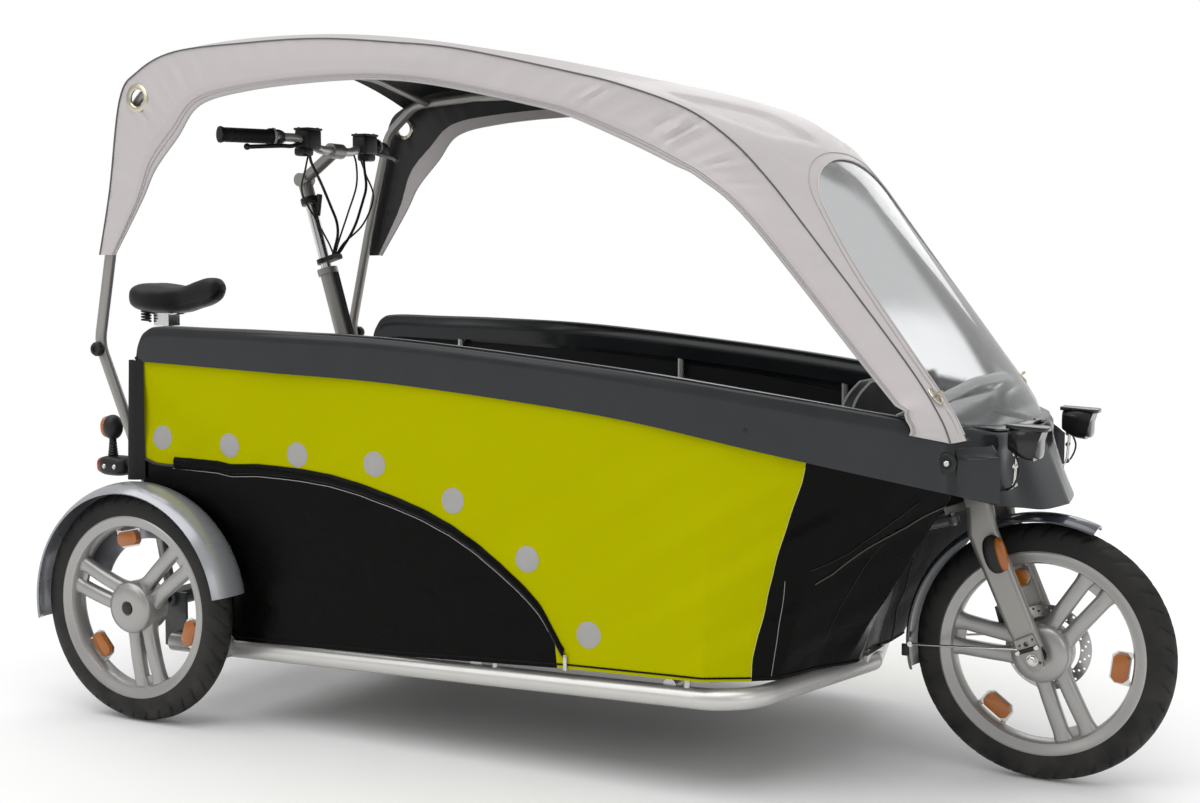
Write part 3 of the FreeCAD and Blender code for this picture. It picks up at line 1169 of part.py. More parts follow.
add_shape("crankset", fuse(crank_pieces))

for side, tip in pedal_places:
    side_name = "left" if side > 0 else "right"
    start = arm_y + size("crank_arm_thickness") / 2 + 6
    pedal = block(tip + Vector(0, side * (start + size("pedal_width") / 2), 0), size("pedal_length"),
                  size("pedal_width"), size("pedal_thickness"))
    pedal = pedal.cut(Part.makeCylinder(size("pedal_axle_radius") + size("running_gap"), 400,
                                        tip - Vector(0, 200, 0), Vector(0, 1, 0)))
    add_shape("pedal_" + side_name, pedal)

motor = Part.makeCylinder(66, 110, Vector(REAR_X, 250, AXLE_Z), Vector(0, 1, 0))
motor = motor.cut(Part.makeCylinder(size("axle_housing_radius") + size("seat_gap"), 200,
                                    Vector(REAR_X, 200, AXLE_Z), Vector(0, 1, 0)))
add_shape("motor", motor)

battery = block(Vector(FRONT_X - 1615, 250, size("floor_height") + 95), 280, 200, 190 - 0.02)
add_shape("battery_box", battery)

rear_fenders = []
for side in (-1, 1):
    middle = Vector(REAR_X, side * size("rear_track") / 2, AXLE_Z)
    shell = fender(middle, size("rear_fender_radius"), size("rear_fender_width"), 10, 190, 20)
    flank_y = size("rear_track") / 2 - size("rear_fender_width") / 2 + 1
    flank = Part.makeCylinder(size("rear_fender_radius") - 21, size("fender_wall"),
                              Vector(REAR_X, side * flank_y, AXLE_Z), Vector(0, side, 0))
    hub_opening = Part.makeCylinder(150, 40, Vector(REAR_X, side * (flank_y - 20), AXLE_Z), Vector(0, side, 0))
    lower = block(Vector(REAR_X, side * flank_y, AXLE_Z - 340), 1200, 60, 800)
    flank = flank.cut(hub_opening).cut(lower)
    strut = block(Vector(REAR_X + 200, side * (flank_y - 6), 256), 18, 12.02, 200)
    strut_foot = block(Vector(REAR_X + 200, side * (flank_y + half_width) / 2, 176), 18, flank_y - half_width + 2, 40)
    lug_inner = CANOPY_TUBE[1][1] + size("canopy_tube_radius") / 2
    lug = block(Vector(REAR_X - 28, side * (flank_y + lug_inner) / 2, 480), 34, flank_y - lug_inner + 0.02, 44)
    whole = fuse([shell, flank, strut, strut_foot, lug]).cut(floor_tubes).cut(canopy_frame)
    rear_fenders.append(max(whole.Solids, key=lambda solid: solid.Volume))
add_shape("rear_fenders", rear_fenders)

# ---------------------------------------------------------------- lamps

head_lamps = []
for side in (-1, 1):
    lamp_at = from_front(size("lamp_lead"), side * size("lamp_spacing") / 2, size("lamp_height"))
    body_solid = block(lamp_at - Vector(0, 0, 6), 62, 58, 62)
    visor = block(lamp_at + Vector(8, 0, 27), 72, 64, 6)
    stalk = rod_between(lamp_at + Vector(-18, 0, 0), lamp_at + Vector(-26, side * -4, -98), 6)
    lamp_foot = rod_between(lamp_at + Vector(-26, side * -4, -96), lamp_at + Vector(-40, side * -12, -102), 7)
    lamp_solid = fuse([body_solid, visor, stalk, lamp_foot]).cut(rim_solid)
    head_lamps.append(max(lamp_solid.Solids, key=lambda solid: solid.Volume))
add_shape("head_lamps", head_lamps)

rear_lamps = []
for side in (-1, 1):
    lamp_at = from_front(-2125, side * 448, 576)
    housing_solid = block(lamp_at, 92, 60, 48)
    lamp_arm = rod_between(lamp_at + Vector(30, 0, 0), from_front(-2018, side * 474, 590), 8)
    stalk = rod_between(lamp_at + Vector(-8, 0, 20), lamp_at + Vector(-10, 0, 62), 9)
    head = Part.makeSphere(30, lamp_at + Vector(-12, 0, 92))
    lamp_solid = fuse([housing_solid, lamp_arm, stalk, head]).cut(canopy_frame)
    rear_lamps.append(max(lamp_solid.Solids, key=lambda solid: solid.Volume))
add_shape("rear_lamps", rear_lamps)

doc.recompute()

# ---------------------------------------------------------------- writing

os.makedirs("parts", exist_ok=True)
for name in os.listdir("parts"):
    os.remove(os.path.join("parts", name))
for item in doc.Objects:
    if "Invalid" in item.State or "Error" in item.State:
        raise RuntimeError(f"{item.Label}: {item.State}")
bad = [item.Label for item in NODES if item.Shape.isNull() or not item.Shape.isValid()]
if bad:
    raise RuntimeError(f"no valid shape: {bad}")
for item in NODES:
    item.Shape.exportStep(f"parts/{item.Label}.step")
print(len(NODES), "sub-parts")
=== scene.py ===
"""Dresses the cargo tricycle: finishes, cloth, wheels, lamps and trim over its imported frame.

Lengths are metres in the row frame unless a name ends in _mm. Tables and profiles are in mm; their places
are counted from the front axle, and what is behind it is negative.
"""
import json
import logging
import math
from contextlib import contextmanager
from dataclasses import dataclass
from enum import Enum
from typing import Callable, Iterable, Iterator, Sequence

import bpy
from mathutils import Matrix, Vector


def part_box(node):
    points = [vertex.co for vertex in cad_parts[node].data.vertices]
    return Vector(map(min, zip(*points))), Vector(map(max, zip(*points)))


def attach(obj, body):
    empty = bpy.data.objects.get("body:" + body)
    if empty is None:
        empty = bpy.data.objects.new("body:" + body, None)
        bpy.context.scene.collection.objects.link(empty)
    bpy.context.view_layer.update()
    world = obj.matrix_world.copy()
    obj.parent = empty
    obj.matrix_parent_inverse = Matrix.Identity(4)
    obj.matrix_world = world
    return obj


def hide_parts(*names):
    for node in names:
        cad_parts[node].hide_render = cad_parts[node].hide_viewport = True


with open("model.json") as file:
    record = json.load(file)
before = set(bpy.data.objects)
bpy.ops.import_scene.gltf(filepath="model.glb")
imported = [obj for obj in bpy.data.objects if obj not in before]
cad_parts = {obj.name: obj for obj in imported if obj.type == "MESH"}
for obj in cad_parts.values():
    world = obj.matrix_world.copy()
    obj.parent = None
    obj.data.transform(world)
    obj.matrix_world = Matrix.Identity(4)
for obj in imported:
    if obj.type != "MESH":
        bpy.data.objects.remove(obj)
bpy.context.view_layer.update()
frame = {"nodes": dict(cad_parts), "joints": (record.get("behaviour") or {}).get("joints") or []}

MM = 0.001
SIDES = (-1, 1)
ACROSS = Vector((0, 1, 0))
UP = Vector((0, 0, 1))
log = logging.getLogger("tricycle")

Piece = bpy.types.Object
Colour = tuple[float, float, float]
Place = Callable[[float, float], Vector]
Tree = bpy.types.NodeTree
Socket = bpy.types.NodeSocket
Profile = Sequence[tuple[float, float]]


def joint_place(name: str) -> Vector:
    """Place of a joint of the frame.

    Args:
        name: the joint's name.

    Returns:
        Its point in the row frame.
    """
    joint = next(entry for entry in frame["joints"] if entry["name"] == name)
    return Vector(joint["pos_m"])


FRONT_AXLE = joint_place("front_wheel_spin")


def from_front(x_mm: float, y_mm: float, z_mm: float) -> Vector:
    """Point given in mm from the front axle, the middle plane and the ground.

    Args:
        x_mm: ahead of the front axle.
        y_mm: to the rider's left.
        z_mm: above the ground.

    Returns:
        The point in the row frame.
    """
    return Vector((FRONT_AXLE.x + x_mm * MM, y_mm * MM, z_mm * MM))


# ---------------------------------------------------------------- bench work


def pick(*pieces: Piece) -> None:
    """Selects these pieces alone, the first one active."""
    bpy.ops.object.select_all(action="DESELECT")
    for piece in pieces:
        piece.select_set(True)
    bpy.context.view_layer.objects.active = pieces[0]


@contextmanager
def mesh_work(whole: bool = True) -> Iterator[None]:
    """Opens the active mesh for editing, and closes it after the work.

    Args:
        whole: selects all of it first.

    Returns:
        What a "with" statement takes.
    """
    bpy.ops.object.mode_set(mode="EDIT")
    if whole:
        bpy.ops.mesh.select_all(action="SELECT")
    yield
    bpy.ops.object.mode_set(mode="OBJECT")


def face_outwards(piece: Piece, weld: float = 1e-5) -> Piece:
    """Merges a closed shell's doubled points and turns its faces outwards.

    Args:
        piece: a mesh.
        weld: points closer than this become one.

    Returns:
        The same piece.
    """
    pick(piece)
    with mesh_work():
        bpy.ops.mesh.remove_doubles(threshold=weld)
        bpy.ops.mesh.normals_make_consistent(inside=False)
    return piece


def face_towards(piece: Piece, index: int, way: Vector) -> Piece:
    """Turns an open sheet so that one of its faces looks a given way.

    Args:
        piece: the sheet.
        index: number of the face.
        way: direction that the face looks in.

    Returns:
        The same piece.
    """
    if piece.data.polygons[index].normal.dot(way) < 0:
        piece.data.flip_normals()
    return piece


def unit(value: float) -> float:
    """Value held between 0 and 1."""
    return min(1.0, max(0.0, value))


def new_piece(name: str, operator: Callable[..., object], **settings: object) -> Piece:
    """Object that an operator adds, under a name of its own.

    Args:
        name: the piece's name.
        operator: what adds it.
        settings: the operator's values.

    Returns:
        The piece.
    """
    bpy.ops.object.select_all(action="DESELECT")
    operator(**settings)
    bpy.context.object.name = name
    return bpy.context.object


def curved_sheet(name: str, along: int, across: int, place: Place) -> Piece:
    """Open sheet of faces whose points are put in place by a function.

    Args:
        name: the piece's name.
        along: faces in the first direction.
        across: faces in the second direction.
        place: gives the point for two shares from 0 to 1.

    Returns:
        The sheet, with a UV map of the two shares.
    """
    piece = new_piece(name, bpy.ops.mesh.primitive_grid_add, x_subdivisions=along, y_subdivisions=across,
                      size=1, location=(0, 0, 0))
    for point in piece.data.vertices:
        point.co = place(unit(point.co.x + 0.5), unit(point.co.y + 0.5))
    return piece


def closed_skin(name: str, along: int, around: int, place: Place) -> Piece:
    """Sheet whose second direction runs round and meets itself, its ends filled.

    Args:
        name: the piece's name.
        along: faces in the first direction.
        around: faces round it.
        place: gives the point for two shares from 0 to 1.

    Returns:
        The closed shell.
    """
    piece = curved_sheet(name, along, around, place)
    face_outwards(piece)
    with mesh_work():
        bpy.ops.mesh.fill_holes(sides=0)
    return face_outwards(piece)


def drawn_line(name: str, points: Sequence[Vector], fill: bool = False) -> Piece:
    """Line of edges drawn point by point, filled as one face if asked.

    Args:
        name: the piece's name.
        points: its corners.
        fill: makes the closed outline a face.

    Returns:
        The line or the face.
    """
    piece = new_piece(name, bpy.ops.mesh.primitive_plane_add, size=0.001, location=points[0])
    bpy.ops.object.transform_apply(location=True, rotation=True, scale=True)
    with mesh_work(whole=False):
        bpy.ops.mesh.merge(type="CENTER")
        for near, far in zip(points, points[1:]):
            bpy.ops.mesh.extrude_region_move(TRANSFORM_OT_translate={"value": Vector(far) - Vector(near)})
        if fill:
            bpy.ops.mesh.select_all(action="SELECT")
            bpy.ops.mesh.edge_face_add()
    return piece


def turned(name: str, profile: Profile, centre: Vector, axis: Vector, steps: int = 40) -> Piece:
    """Turned piece: a profile spun round an axis.

    Args:
        name: the piece's name.
        profile: radius and distance along the axis of each corner, in mm.
        centre: point that the distances count from.
        axis: direction of the axis.
        steps: faces round it.

    Returns:
        The closed piece.
    """
    axis = Vector(axis).normalized()
    side = axis.orthogonal().normalized()
    piece = drawn_line(name, [centre + side * radius * MM + axis * run * MM for radius, run in profile])
    with mesh_work():
        bpy.ops.mesh.spin(steps=steps, angle=math.tau, center=centre, axis=axis)
    return face_outwards(piece)


def plate(name: str, outline: Sequence[Vector], thickness: Vector) -> Piece:
    """Flat plate: a filled outline extruded by its thickness.

    Args:
        name: the piece's name.
        outline: its corners.
        thickness: direction and length of the extrusion.

    Returns:
        The closed plate.
    """
    piece = drawn_line(name, outline, fill=True)
    with mesh_work():
        bpy.ops.mesh.extrude_region_move(TRANSFORM_OT_translate={"value": thickness})
    return face_outwards(piece)


def soft_box(name: str, centre: Vector, size_mm: Sequence[float], edge_mm: float, steps: int = 3,
             turn: Sequence[float] = (0, 0, 0)) -> Piece:
    """Block with its edges rounded over.

    Args:
        name: the piece's name.
        centre: its middle.
        size_mm: its length, width and height before it is turned.
        edge_mm: radius of its edges.
        steps: faces across each rounded edge.
        turn: Euler angles in radians.

    Returns:
        The block.
    """
    piece = new_piece(name, bpy.ops.mesh.primitive_cube_add, size=1, location=centre, rotation=turn,
                      scale=[side * MM for side in size_mm])
    bpy.ops.object.transform_apply(location=True, rotation=True, scale=True)
    with mesh_work():
        bpy.ops.mesh.bevel(offset=edge_mm * MM, segments=steps, affect="EDGES")
    return piece


def four_round(points: Sequence[Sequence[float]], low: int) -> list[Vector]:
    """Four points in a row whose second has a given index, the first and last point repeated at the ends."""
    return [Vector(points[min(max(low + shift, 0), len(points) - 1)]) for shift in (-1, 0, 1, 2)]


def smooth_route(points: Sequence[Vector], steps: int = 8) -> list[Vector]:
    """Even curve through a few points.

    Args:
        points: what it passes through.
        steps: points for each stretch.

    Returns:
        The points of the curve.
    """
    route = [between(four_round(points, index), step / steps)
             for index in range(len(points) - 1) for step in range(steps)]
    return route + [Vector(points[-1])]


def between(near: Sequence[Vector], share: float) -> Vector:
    """Point on the even curve between the second and third of four points.

    Args:
        near: four points in a row.
        share: from 0 at the second to 1 at the third.

    Returns:
        The point.
    """
    before, start, end, after = near
    square = share * share
    cube = square * share
    return 0.5 * (2 * start + (end - before) * share + (2 * before - 5 * start + 4 * end - after) * square
                  + (3 * start - before - 3 * end + after) * cube)


def row_at(rows: Sequence[Sequence[float]], place: float) -> Vector:
    """Row of a table at a fractional index, on an even curve through its rows.

    Args:
        rows: the table.
        place: index from 0 to the last row's.

    Returns:
        The values of the columns.
    """
    low = min(int(place), len(rows) - 2)
    return between(four_round(rows, low), place - low)


def straight_at(rows: Sequence[Sequence[float]], place: float) -> Vector:
    """Row of a table at a fractional index, on straight lines from row to row."""
    low = min(int(place), len(rows) - 2)
    return Vector(rows[low]).lerp(Vector(rows[low + 1]), place - low)


def along_line(line: Sequence[tuple[float, float]], place: float) -> float:
    """Value of a two-column table at a place in its first column.

    Args:
        line: the table, its first column rising.
        place: value in the first column.

    Returns:
        The value, held at both ends.
    """
    for near, far in zip(line, line[1:]):
        if place <= far[0]:
            share = max(0.0, (place - near[0]) / (far[0] - near[0]))
            return near[1] + share * (far[1] - near[1])
    return line[-1][1]


def waves(table: Sequence[tuple[float, float, float]], place: float) -> float:
    """Sum of sine waves, each given by its strength, its pace and its start."""
    return sum(strength * math.sin(place * pace + start) for strength, pace, start in table)


def tube(name: str, points: Sequence[Vector], radius_mm: float, closed: bool = False,
         sides: int = 10) -> Piece:
    """Round bar, wire or cord along a route.

    Args:
        name: the piece's name.
        points: its middle line.
        radius_mm: its radius.
        closed: joins its ends.
        sides: faces round it.

    Returns:
        The bar as a mesh.
    """
    curve = new_piece(name, bpy.ops.curve.primitive_nurbs_path_add, location=(0, 0, 0)).data
    curve.splines.clear()
    line = curve.splines.new("POLY")
    line.points.add(len(points) - 1)
    for target, point in zip(line.points, points):
        target.co = (*point, 1.0)
    line.use_cyclic_u = closed
    line.use_smooth = True
    curve.dimensions = "3D"
    curve.bevel_depth = radius_mm * MM
    curve.bevel_resolution = max(0, sides // 2 - 2)
    curve.use_fill_caps = not closed
    bpy.ops.object.convert(target="MESH")
    return face_outwards(bpy.context.object)


def apply_modifier(piece: Piece, kind: str, **settings: object) -> Piece:
    """Adds one modifier and applies it.

    Args:
        piece: the mesh.
        kind: the modifier's type.
        settings: its values.

    Returns:
        The same piece.
    """
    pick(piece)
    bpy.ops.object.modifier_add(type=kind)
    modifier = piece.modifiers[-1]
    for name, value in settings.items():
        setattr(modifier, name, value)
    bpy.ops.object.modifier_apply(modifier=modifier.name)
    return piece


def thicken(piece: Piece, wall_mm: float) -> Piece:
    """Gives a sheet its wall, inwards from its face."""
    return apply_modifier(piece, "SOLIDIFY", thickness=wall_mm * MM, offset=-1.0, use_even_offset=False)


def round_edges(piece: Piece, radius_mm: float, steps: int = 2, angle: float = 40) -> Piece:
    """Rounds every edge sharper than an angle in degrees."""
    return apply_modifier(piece, "BEVEL", width=radius_mm * MM, segments=steps, limit_method="ANGLE",
                          angle_limit=math.radians(angle), harden_normals=False)


def carve(piece: Piece, cutter: Piece) -> Piece:
    """Cuts one closed mesh out of another and throws the cutter away.

    Args:
        piece: what is cut.
        cutter: what cuts it.

    Returns:
        The piece that was cut.
    """
    apply_modifier(piece, "BOOLEAN", operation="DIFFERENCE", object=cutter, solver="EXACT")
    bpy.data.objects.remove(cutter, do_unlink=True)
    return piece


def joined(name: str, pieces: Sequence[Piece]) -> Piece:
    """Joins meshes into one piece.

    Args:
        name: the new piece's name.
        pieces: what is joined.

    Returns:
        The piece.
    """
    pick(*pieces)
    bpy.ops.object.join()
    pieces[0].name = name
    return pieces[0]


def copied(piece: Piece, name: str, move: Matrix) -> Piece:
    """Copy with its own mesh, moved by a matrix.

    Args:
        piece: what is copied.
        name: the copy's name.
        move: turns or shifts its points.

    Returns:
        The copy.
    """
    twin = piece.copy()
    twin.data = piece.data.copy()
    twin.name = name
    bpy.context.collection.objects.link(twin)
    twin.data.transform(move)
    return twin


def dress(piece: Piece, finish: "Finish | None", body: str, replaces: Sequence[str] = (),
          crease: float = 35) -> Piece:
    """Finishes a new piece: shading, material, body and what it stands for.

    Args:
        piece: the mesh.
        finish: its finish, or None where its parts are painted already.
        body: the body that it rides on.
        replaces: CAD nodes that it stands for.
        crease: edges sharper than this many degrees stay crisp.

    Returns:
        The same piece.
    """
    pick(piece)
    bpy.ops.object.transform_apply(location=True, rotation=True, scale=True)
    bpy.ops.object.shade_smooth_by_angle(angle=math.radians(crease))
    if finish:
        paint(piece, finish)
    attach(piece, body)
    if replaces:
        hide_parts(*replaces)
    log.info("%s: %d faces, rides on %s", piece.name, len(piece.data.polygons), body)
    return piece


def paint(piece: Piece, finish: "Finish") -> Piece:
    """Gives a mesh one finish.

    Args:
        piece: the mesh.
        finish: its finish.

    Returns:
        The same piece.
    """
    piece.data.materials.clear()
    piece.data.materials.append(finish.material())
    return piece


def painted(finish: "Finish", *pieces: Piece) -> list[Piece]:
    """Gives each of several parts one finish before they are joined to others."""
    return [paint(piece, finish) for piece in pieces]


# ---------------------------------------------------------------- finishes


class Surface(Enum):
    """How a surface is made."""

    PAINTED = "sprayed or coated, with a faint orange peel"
    MOULDED = "moulded plastic or rubber with a fine grain"
    WOVEN = "cloth with crossing threads"
    CAST = "cast metal with an open grain"
    BRUSHED = "drawn or brushed metal"
    CLEAR = "clear sheet or lens"
    BOARD = "sawn board with fibres along it"


# How far the grain is drawn out along a piece.
DRAWN_OUT = {Surface.BRUSHED: (0.04, 1.0, 1.0), Surface.BOARD: (0.05, 1.0, 1.0)}
EVEN = (1.0, 1.0, 1.0)
DUST_COLOUR = (0.30, 0.27, 0.22, 1)
COAT_ROUGHNESS = 0.08
# How far the roughness swings with the mottling of the colour.
GLOSS_SWING = 0.12


def new_group(name: str, inputs: Iterable[tuple], outputs: Iterable[tuple]) -> Tree:
    """Empty shader node group with named sockets.

    Args:
        name: the group's name.
        inputs: name, type and default of each input.
        outputs: name and type of each output.

    Returns:
        The group's tree, with its input and output nodes in it.
    """
    tree = bpy.data.node_groups.new(name, "ShaderNodeTree")
    for label, kind, default in inputs:
        socket = tree.interface.new_socket(name=label, in_out="INPUT", socket_type="NodeSocket" + kind)
        if default is not None:
            socket.default_value = default
    for label, kind in outputs:
        tree.interface.new_socket(name=label, in_out="OUTPUT", socket_type="NodeSocket" + kind)
    tree.nodes.new("NodeGroupInput").name = "given"
    tree.nodes.new("NodeGroupOutput").name = "result"
    return tree


def node(tree: Tree, kind: str, settings: dict | None = None, **inputs: object) -> bpy.types.Node:
    """Adds a node and sets or links its inputs.

    Args:
        tree: the tree it goes in.
        kind: the node's type without "ShaderNode".
        settings: properties of the node.
        inputs: values or output sockets by input name, with _ for a space.

    Returns:
        The node.
    """
    made = tree.nodes.new("ShaderNode" + kind)
    for name, value in (settings or {}).items():
        setattr(made, name, value)
    for label, value in inputs.items():
        if label.startswith("input_"):
            socket = made.inputs[int(label[6:])]
        else:
            socket = made.inputs[label.replace("_", " ")]
        if isinstance(value, Socket):
            tree.links.new(value, socket)
        else:
            socket.default_value = value
    return made


def reckon(tree: Tree, operation: str, *values: object, clamp: bool = False) -> Socket:
    """Adds a Math node.

    Args:
        tree: the tree it goes in.
        operation: what it works out.
        values: numbers or output sockets, in the order of its inputs.
        clamp: keeps the result between 0 and 1.

    Returns:
        The node's output.
    """
    given = {f"input_{index}": value for index, value in enumerate(values)}
    return node(tree, "Math", {"operation": operation, "use_clamp": clamp}, **given).outputs[0]


def remap(tree: Tree, value: Socket, *limits: object) -> Socket:
    """Adds a Map Range node.

    Args:
        tree: the tree it goes in.
        value: what is mapped.
        limits: the two ends that it comes from, then the two that they become.

    Returns:
        The node's output.
    """
    given = {f"input_{index}": limit for index, limit in enumerate(limits, 1)}
    return node(tree, "MapRange", input_0=value, **given).outputs[0]


def grain_group() -> Tree:
    """Colour, gloss and height that vary as a coated, moulded or cast surface does.

    Returns:
        The group "surface_grain".
    """
    if "surface_grain" in bpy.data.node_groups:
        return bpy.data.node_groups["surface_grain"]
    inputs = [("Vector", "Vector", None), ("Colour", "Color", (0.5, 0.5, 0.5, 1)),
              ("Variation", "Float", 0.1), ("Grain", "Float", 400.0), ("Stretch", "Vector", (1, 1, 1))]
    tree = new_group("surface_grain", inputs, [("Colour", "Color"), ("Gloss", "Float"), ("Height", "Float")])
    given = tree.nodes["given"].outputs
    stretched = node(tree, "VectorMath", {"operation": "MULTIPLY"}, input_0=given["Vector"],
                     input_1=given["Stretch"])
    fine = node(tree, "TexNoise", Vector=stretched.outputs[0], Scale=given["Grain"], Detail=2.0)
    broad = node(tree, "TexNoise", Vector=given["Vector"], Scale=7.0, Detail=3.0)
    mottle = reckon(tree, "MULTIPLY_ADD", broad.outputs["Fac"], 2.0, -1.0)
    shade = reckon(tree, "MULTIPLY_ADD", mottle, given["Variation"], 1.0)
    tint = node(tree, "VectorMath", {"operation": "SCALE"}, input_0=given["Colour"], Scale=shade)
    for label, source in (("Colour", tint.outputs[0]), ("Gloss", mottle), ("Height", fine.outputs["Fac"])):
        tree.links.new(source, tree.nodes["result"].inputs[label])
    return tree


def weave_group() -> Tree:
    """Crossing threads: a height, and a shade for the gaps between them.

    Returns:
        The group "crossing_threads".
    """
    if "crossing_threads" in bpy.data.node_groups:
        return bpy.data.node_groups["crossing_threads"]
    tree = new_group("crossing_threads", [("Vector", "Vector", None), ("Threads", "Float", 500.0)],
                     [("Height", "Float"), ("Shade", "Float")])
    given = tree.nodes["given"].outputs
    parts = node(tree, "SeparateXYZ", Vector=given["Vector"]).outputs
    ribs = []
    for source in (reckon(tree, "ADD", parts["X"], parts["Y"]), parts["Z"]):
        wave = reckon(tree, "SINE", reckon(tree, "MULTIPLY", source, given["Threads"]))
        ribs.append(reckon(tree, "ABSOLUTE", wave))
    top = reckon(tree, "MAXIMUM", *ribs)
    tree.links.new(top, tree.nodes["result"].inputs["Height"])
    tree.links.new(remap(tree, top, 0.4, 1.0, 0.82, 1.0), tree.nodes["result"].inputs["Shade"])
    return tree


def dust_group() -> Tree:
    """Road dust: thick near the ground and in patches, thin higher up.

    Returns:
        The group "road_dust".
    """
    if "road_dust" in bpy.data.node_groups:
        return bpy.data.node_groups["road_dust"]
    inputs = [("Vector", "Vector", None), ("Amount", "Float", 0.2), ("Reach", "Float", 0.6)]
    tree = new_group("road_dust", inputs, [("Mask", "Float")])
    given = tree.nodes["given"].outputs
    height = node(tree, "SeparateXYZ", Vector=given["Vector"]).outputs["Z"]
    low = remap(tree, height, 0.0, given["Reach"], 1.0, 0.12)
    patches = node(tree, "TexNoise", Vector=given["Vector"], Scale=14.0, Detail=5.0).outputs["Fac"]
    both = reckon(tree, "MULTIPLY", low, remap(tree, patches, 0.35, 0.75, 0.0, 1.0))
    mask = reckon(tree, "MULTIPLY", both, given["Amount"], clamp=True)
    tree.links.new(mask, tree.nodes["result"].inputs["Mask"])
    return tree


@dataclass(frozen=True)
class Finish:
    """One finish: what a surface is made of and how it has aged."""

    name: str
    colour: Colour
    roughness: float
    surface: Surface = Surface.MOULDED
    metallic: float = 0.0
    coat: float = 0.0
    variation: float = 0.08
    grain: float = 900.0
    relief_mm: float = 0.15
    dust: float = 0.0
    clear: float = 0.0
    wrinkles_mm: float = 0.0
    specular: float = 0.5

    def material(self) -> bpy.types.Material:
        """Material of this finish, made once.

        Returns:
            The material.
        """
        title = self.name + "_finish"
        if title in bpy.data.materials:
            return bpy.data.materials[title]
        material = bpy.data.materials.new(title)
        material.use_nodes = True
        tree = material.node_tree
        shader = tree.nodes["Principled BSDF"]
        for label, value in (("Metallic", self.metallic), ("Coat Weight", self.coat),
                             ("Coat Roughness", COAT_ROUGHNESS), ("Specular IOR Level", self.specular),
                             ("Transmission Weight", self.clear)):
            shader.inputs[label].default_value = value
        place = tree.nodes.new("ShaderNodeTexCoord").outputs["Object"]
        grain = self._group(tree, grain_group(), place)
        for label, value in (("Colour", (*self.colour, 1)), ("Variation", self.variation),
                             ("Grain", self.grain), ("Stretch", DRAWN_OUT.get(self.surface, EVEN))):
            grain.inputs[label].default_value = value
        colour, height = grain.outputs["Colour"], grain.outputs["Height"]
        if self.surface is Surface.WOVEN:
            colour, height = self._weave(tree, place, colour)
        if self.dust:
            colour = self._dusty(tree, place, colour)
        tree.links.new(colour, shader.inputs["Base Color"])
        gloss = reckon(tree, "MULTIPLY_ADD", grain.outputs["Gloss"], GLOSS_SWING, self.roughness, clamp=True)
        tree.links.new(gloss, shader.inputs["Roughness"])
        tree.links.new(self._relief(tree, place, height), shader.inputs["Normal"])
        return material

    def _group(self, tree: Tree, group: Tree,
               place: Socket) -> bpy.types.Node:
        """Puts a group in a material's tree, fed with object coordinates.

        Args:
            tree: the material's tree.
            group: the group.
            place: object coordinates.

        Returns:
            The group's node.
        """
        holder = tree.nodes.new("ShaderNodeGroup")
        holder.node_tree = group
        tree.links.new(place, holder.inputs["Vector"])
        return holder

    def _weave(self, tree: Tree, place: Socket,
               colour: Socket) -> tuple[Socket, Socket]:
        """Adds the threads: their height, and their shade on the colour.

        Args:
            tree: the material's tree.
            place: object coordinates.
            colour: the colour so far.

        Returns:
            The shaded colour and the height.
        """
        threads = self._group(tree, weave_group(), place)
        threads.inputs["Threads"].default_value = self.grain
        shaded = node(tree, "VectorMath", {"operation": "SCALE"}, input_0=colour,
                      Scale=threads.outputs["Shade"])
        return shaded.outputs[0], threads.outputs["Height"]

    def _dusty(self, tree: Tree, place: Socket,
               colour: Socket) -> Socket:
        """Lays road dust over the colour.

        Args:
            tree: the material's tree.
            place: object coordinates.
            colour: the colour so far.

        Returns:
            The dusty colour.
        """
        dust = self._group(tree, dust_group(), place)
        dust.inputs["Amount"].default_value = self.dust
        mix = tree.nodes.new("ShaderNodeMix")
        mix.data_type = "RGBA"
        tree.links.new(dust.outputs["Mask"], mix.inputs["Factor"])
        tree.links.new(colour, mix.inputs[6])
        mix.inputs[7].default_value = DUST_COLOUR
        return mix.outputs[2]

    def _relief(self, tree: Tree, place: Socket,
                height: Socket) -> Socket:
        """Fine relief, over broad wrinkles where the finish has them.

        Args:
            tree: the material's tree.
            place: object coordinates.
            height: the fine height.

        Returns:
            The normal.
        """
        fine = tree.nodes.new("ShaderNodeBump")
        fine.inputs["Strength"].default_value = 0.6
        fine.inputs["Distance"].default_value = self.relief_mm * MM
        tree.links.new(height, fine.inputs["Height"])
        if self.wrinkles_mm:
            crumple = node(tree, "TexNoise", Vector=place, Scale=16.0, Detail=3.0, Roughness=0.45,
                           Distortion=0.6)
            broad = node(tree, "Bump", Strength=0.7, Distance=self.wrinkles_mm * MM,
                         Height=crumple.outputs["Fac"])
            tree.links.new(broad.outputs["Normal"], fine.inputs["Normal"])
        return fine.outputs["Normal"]


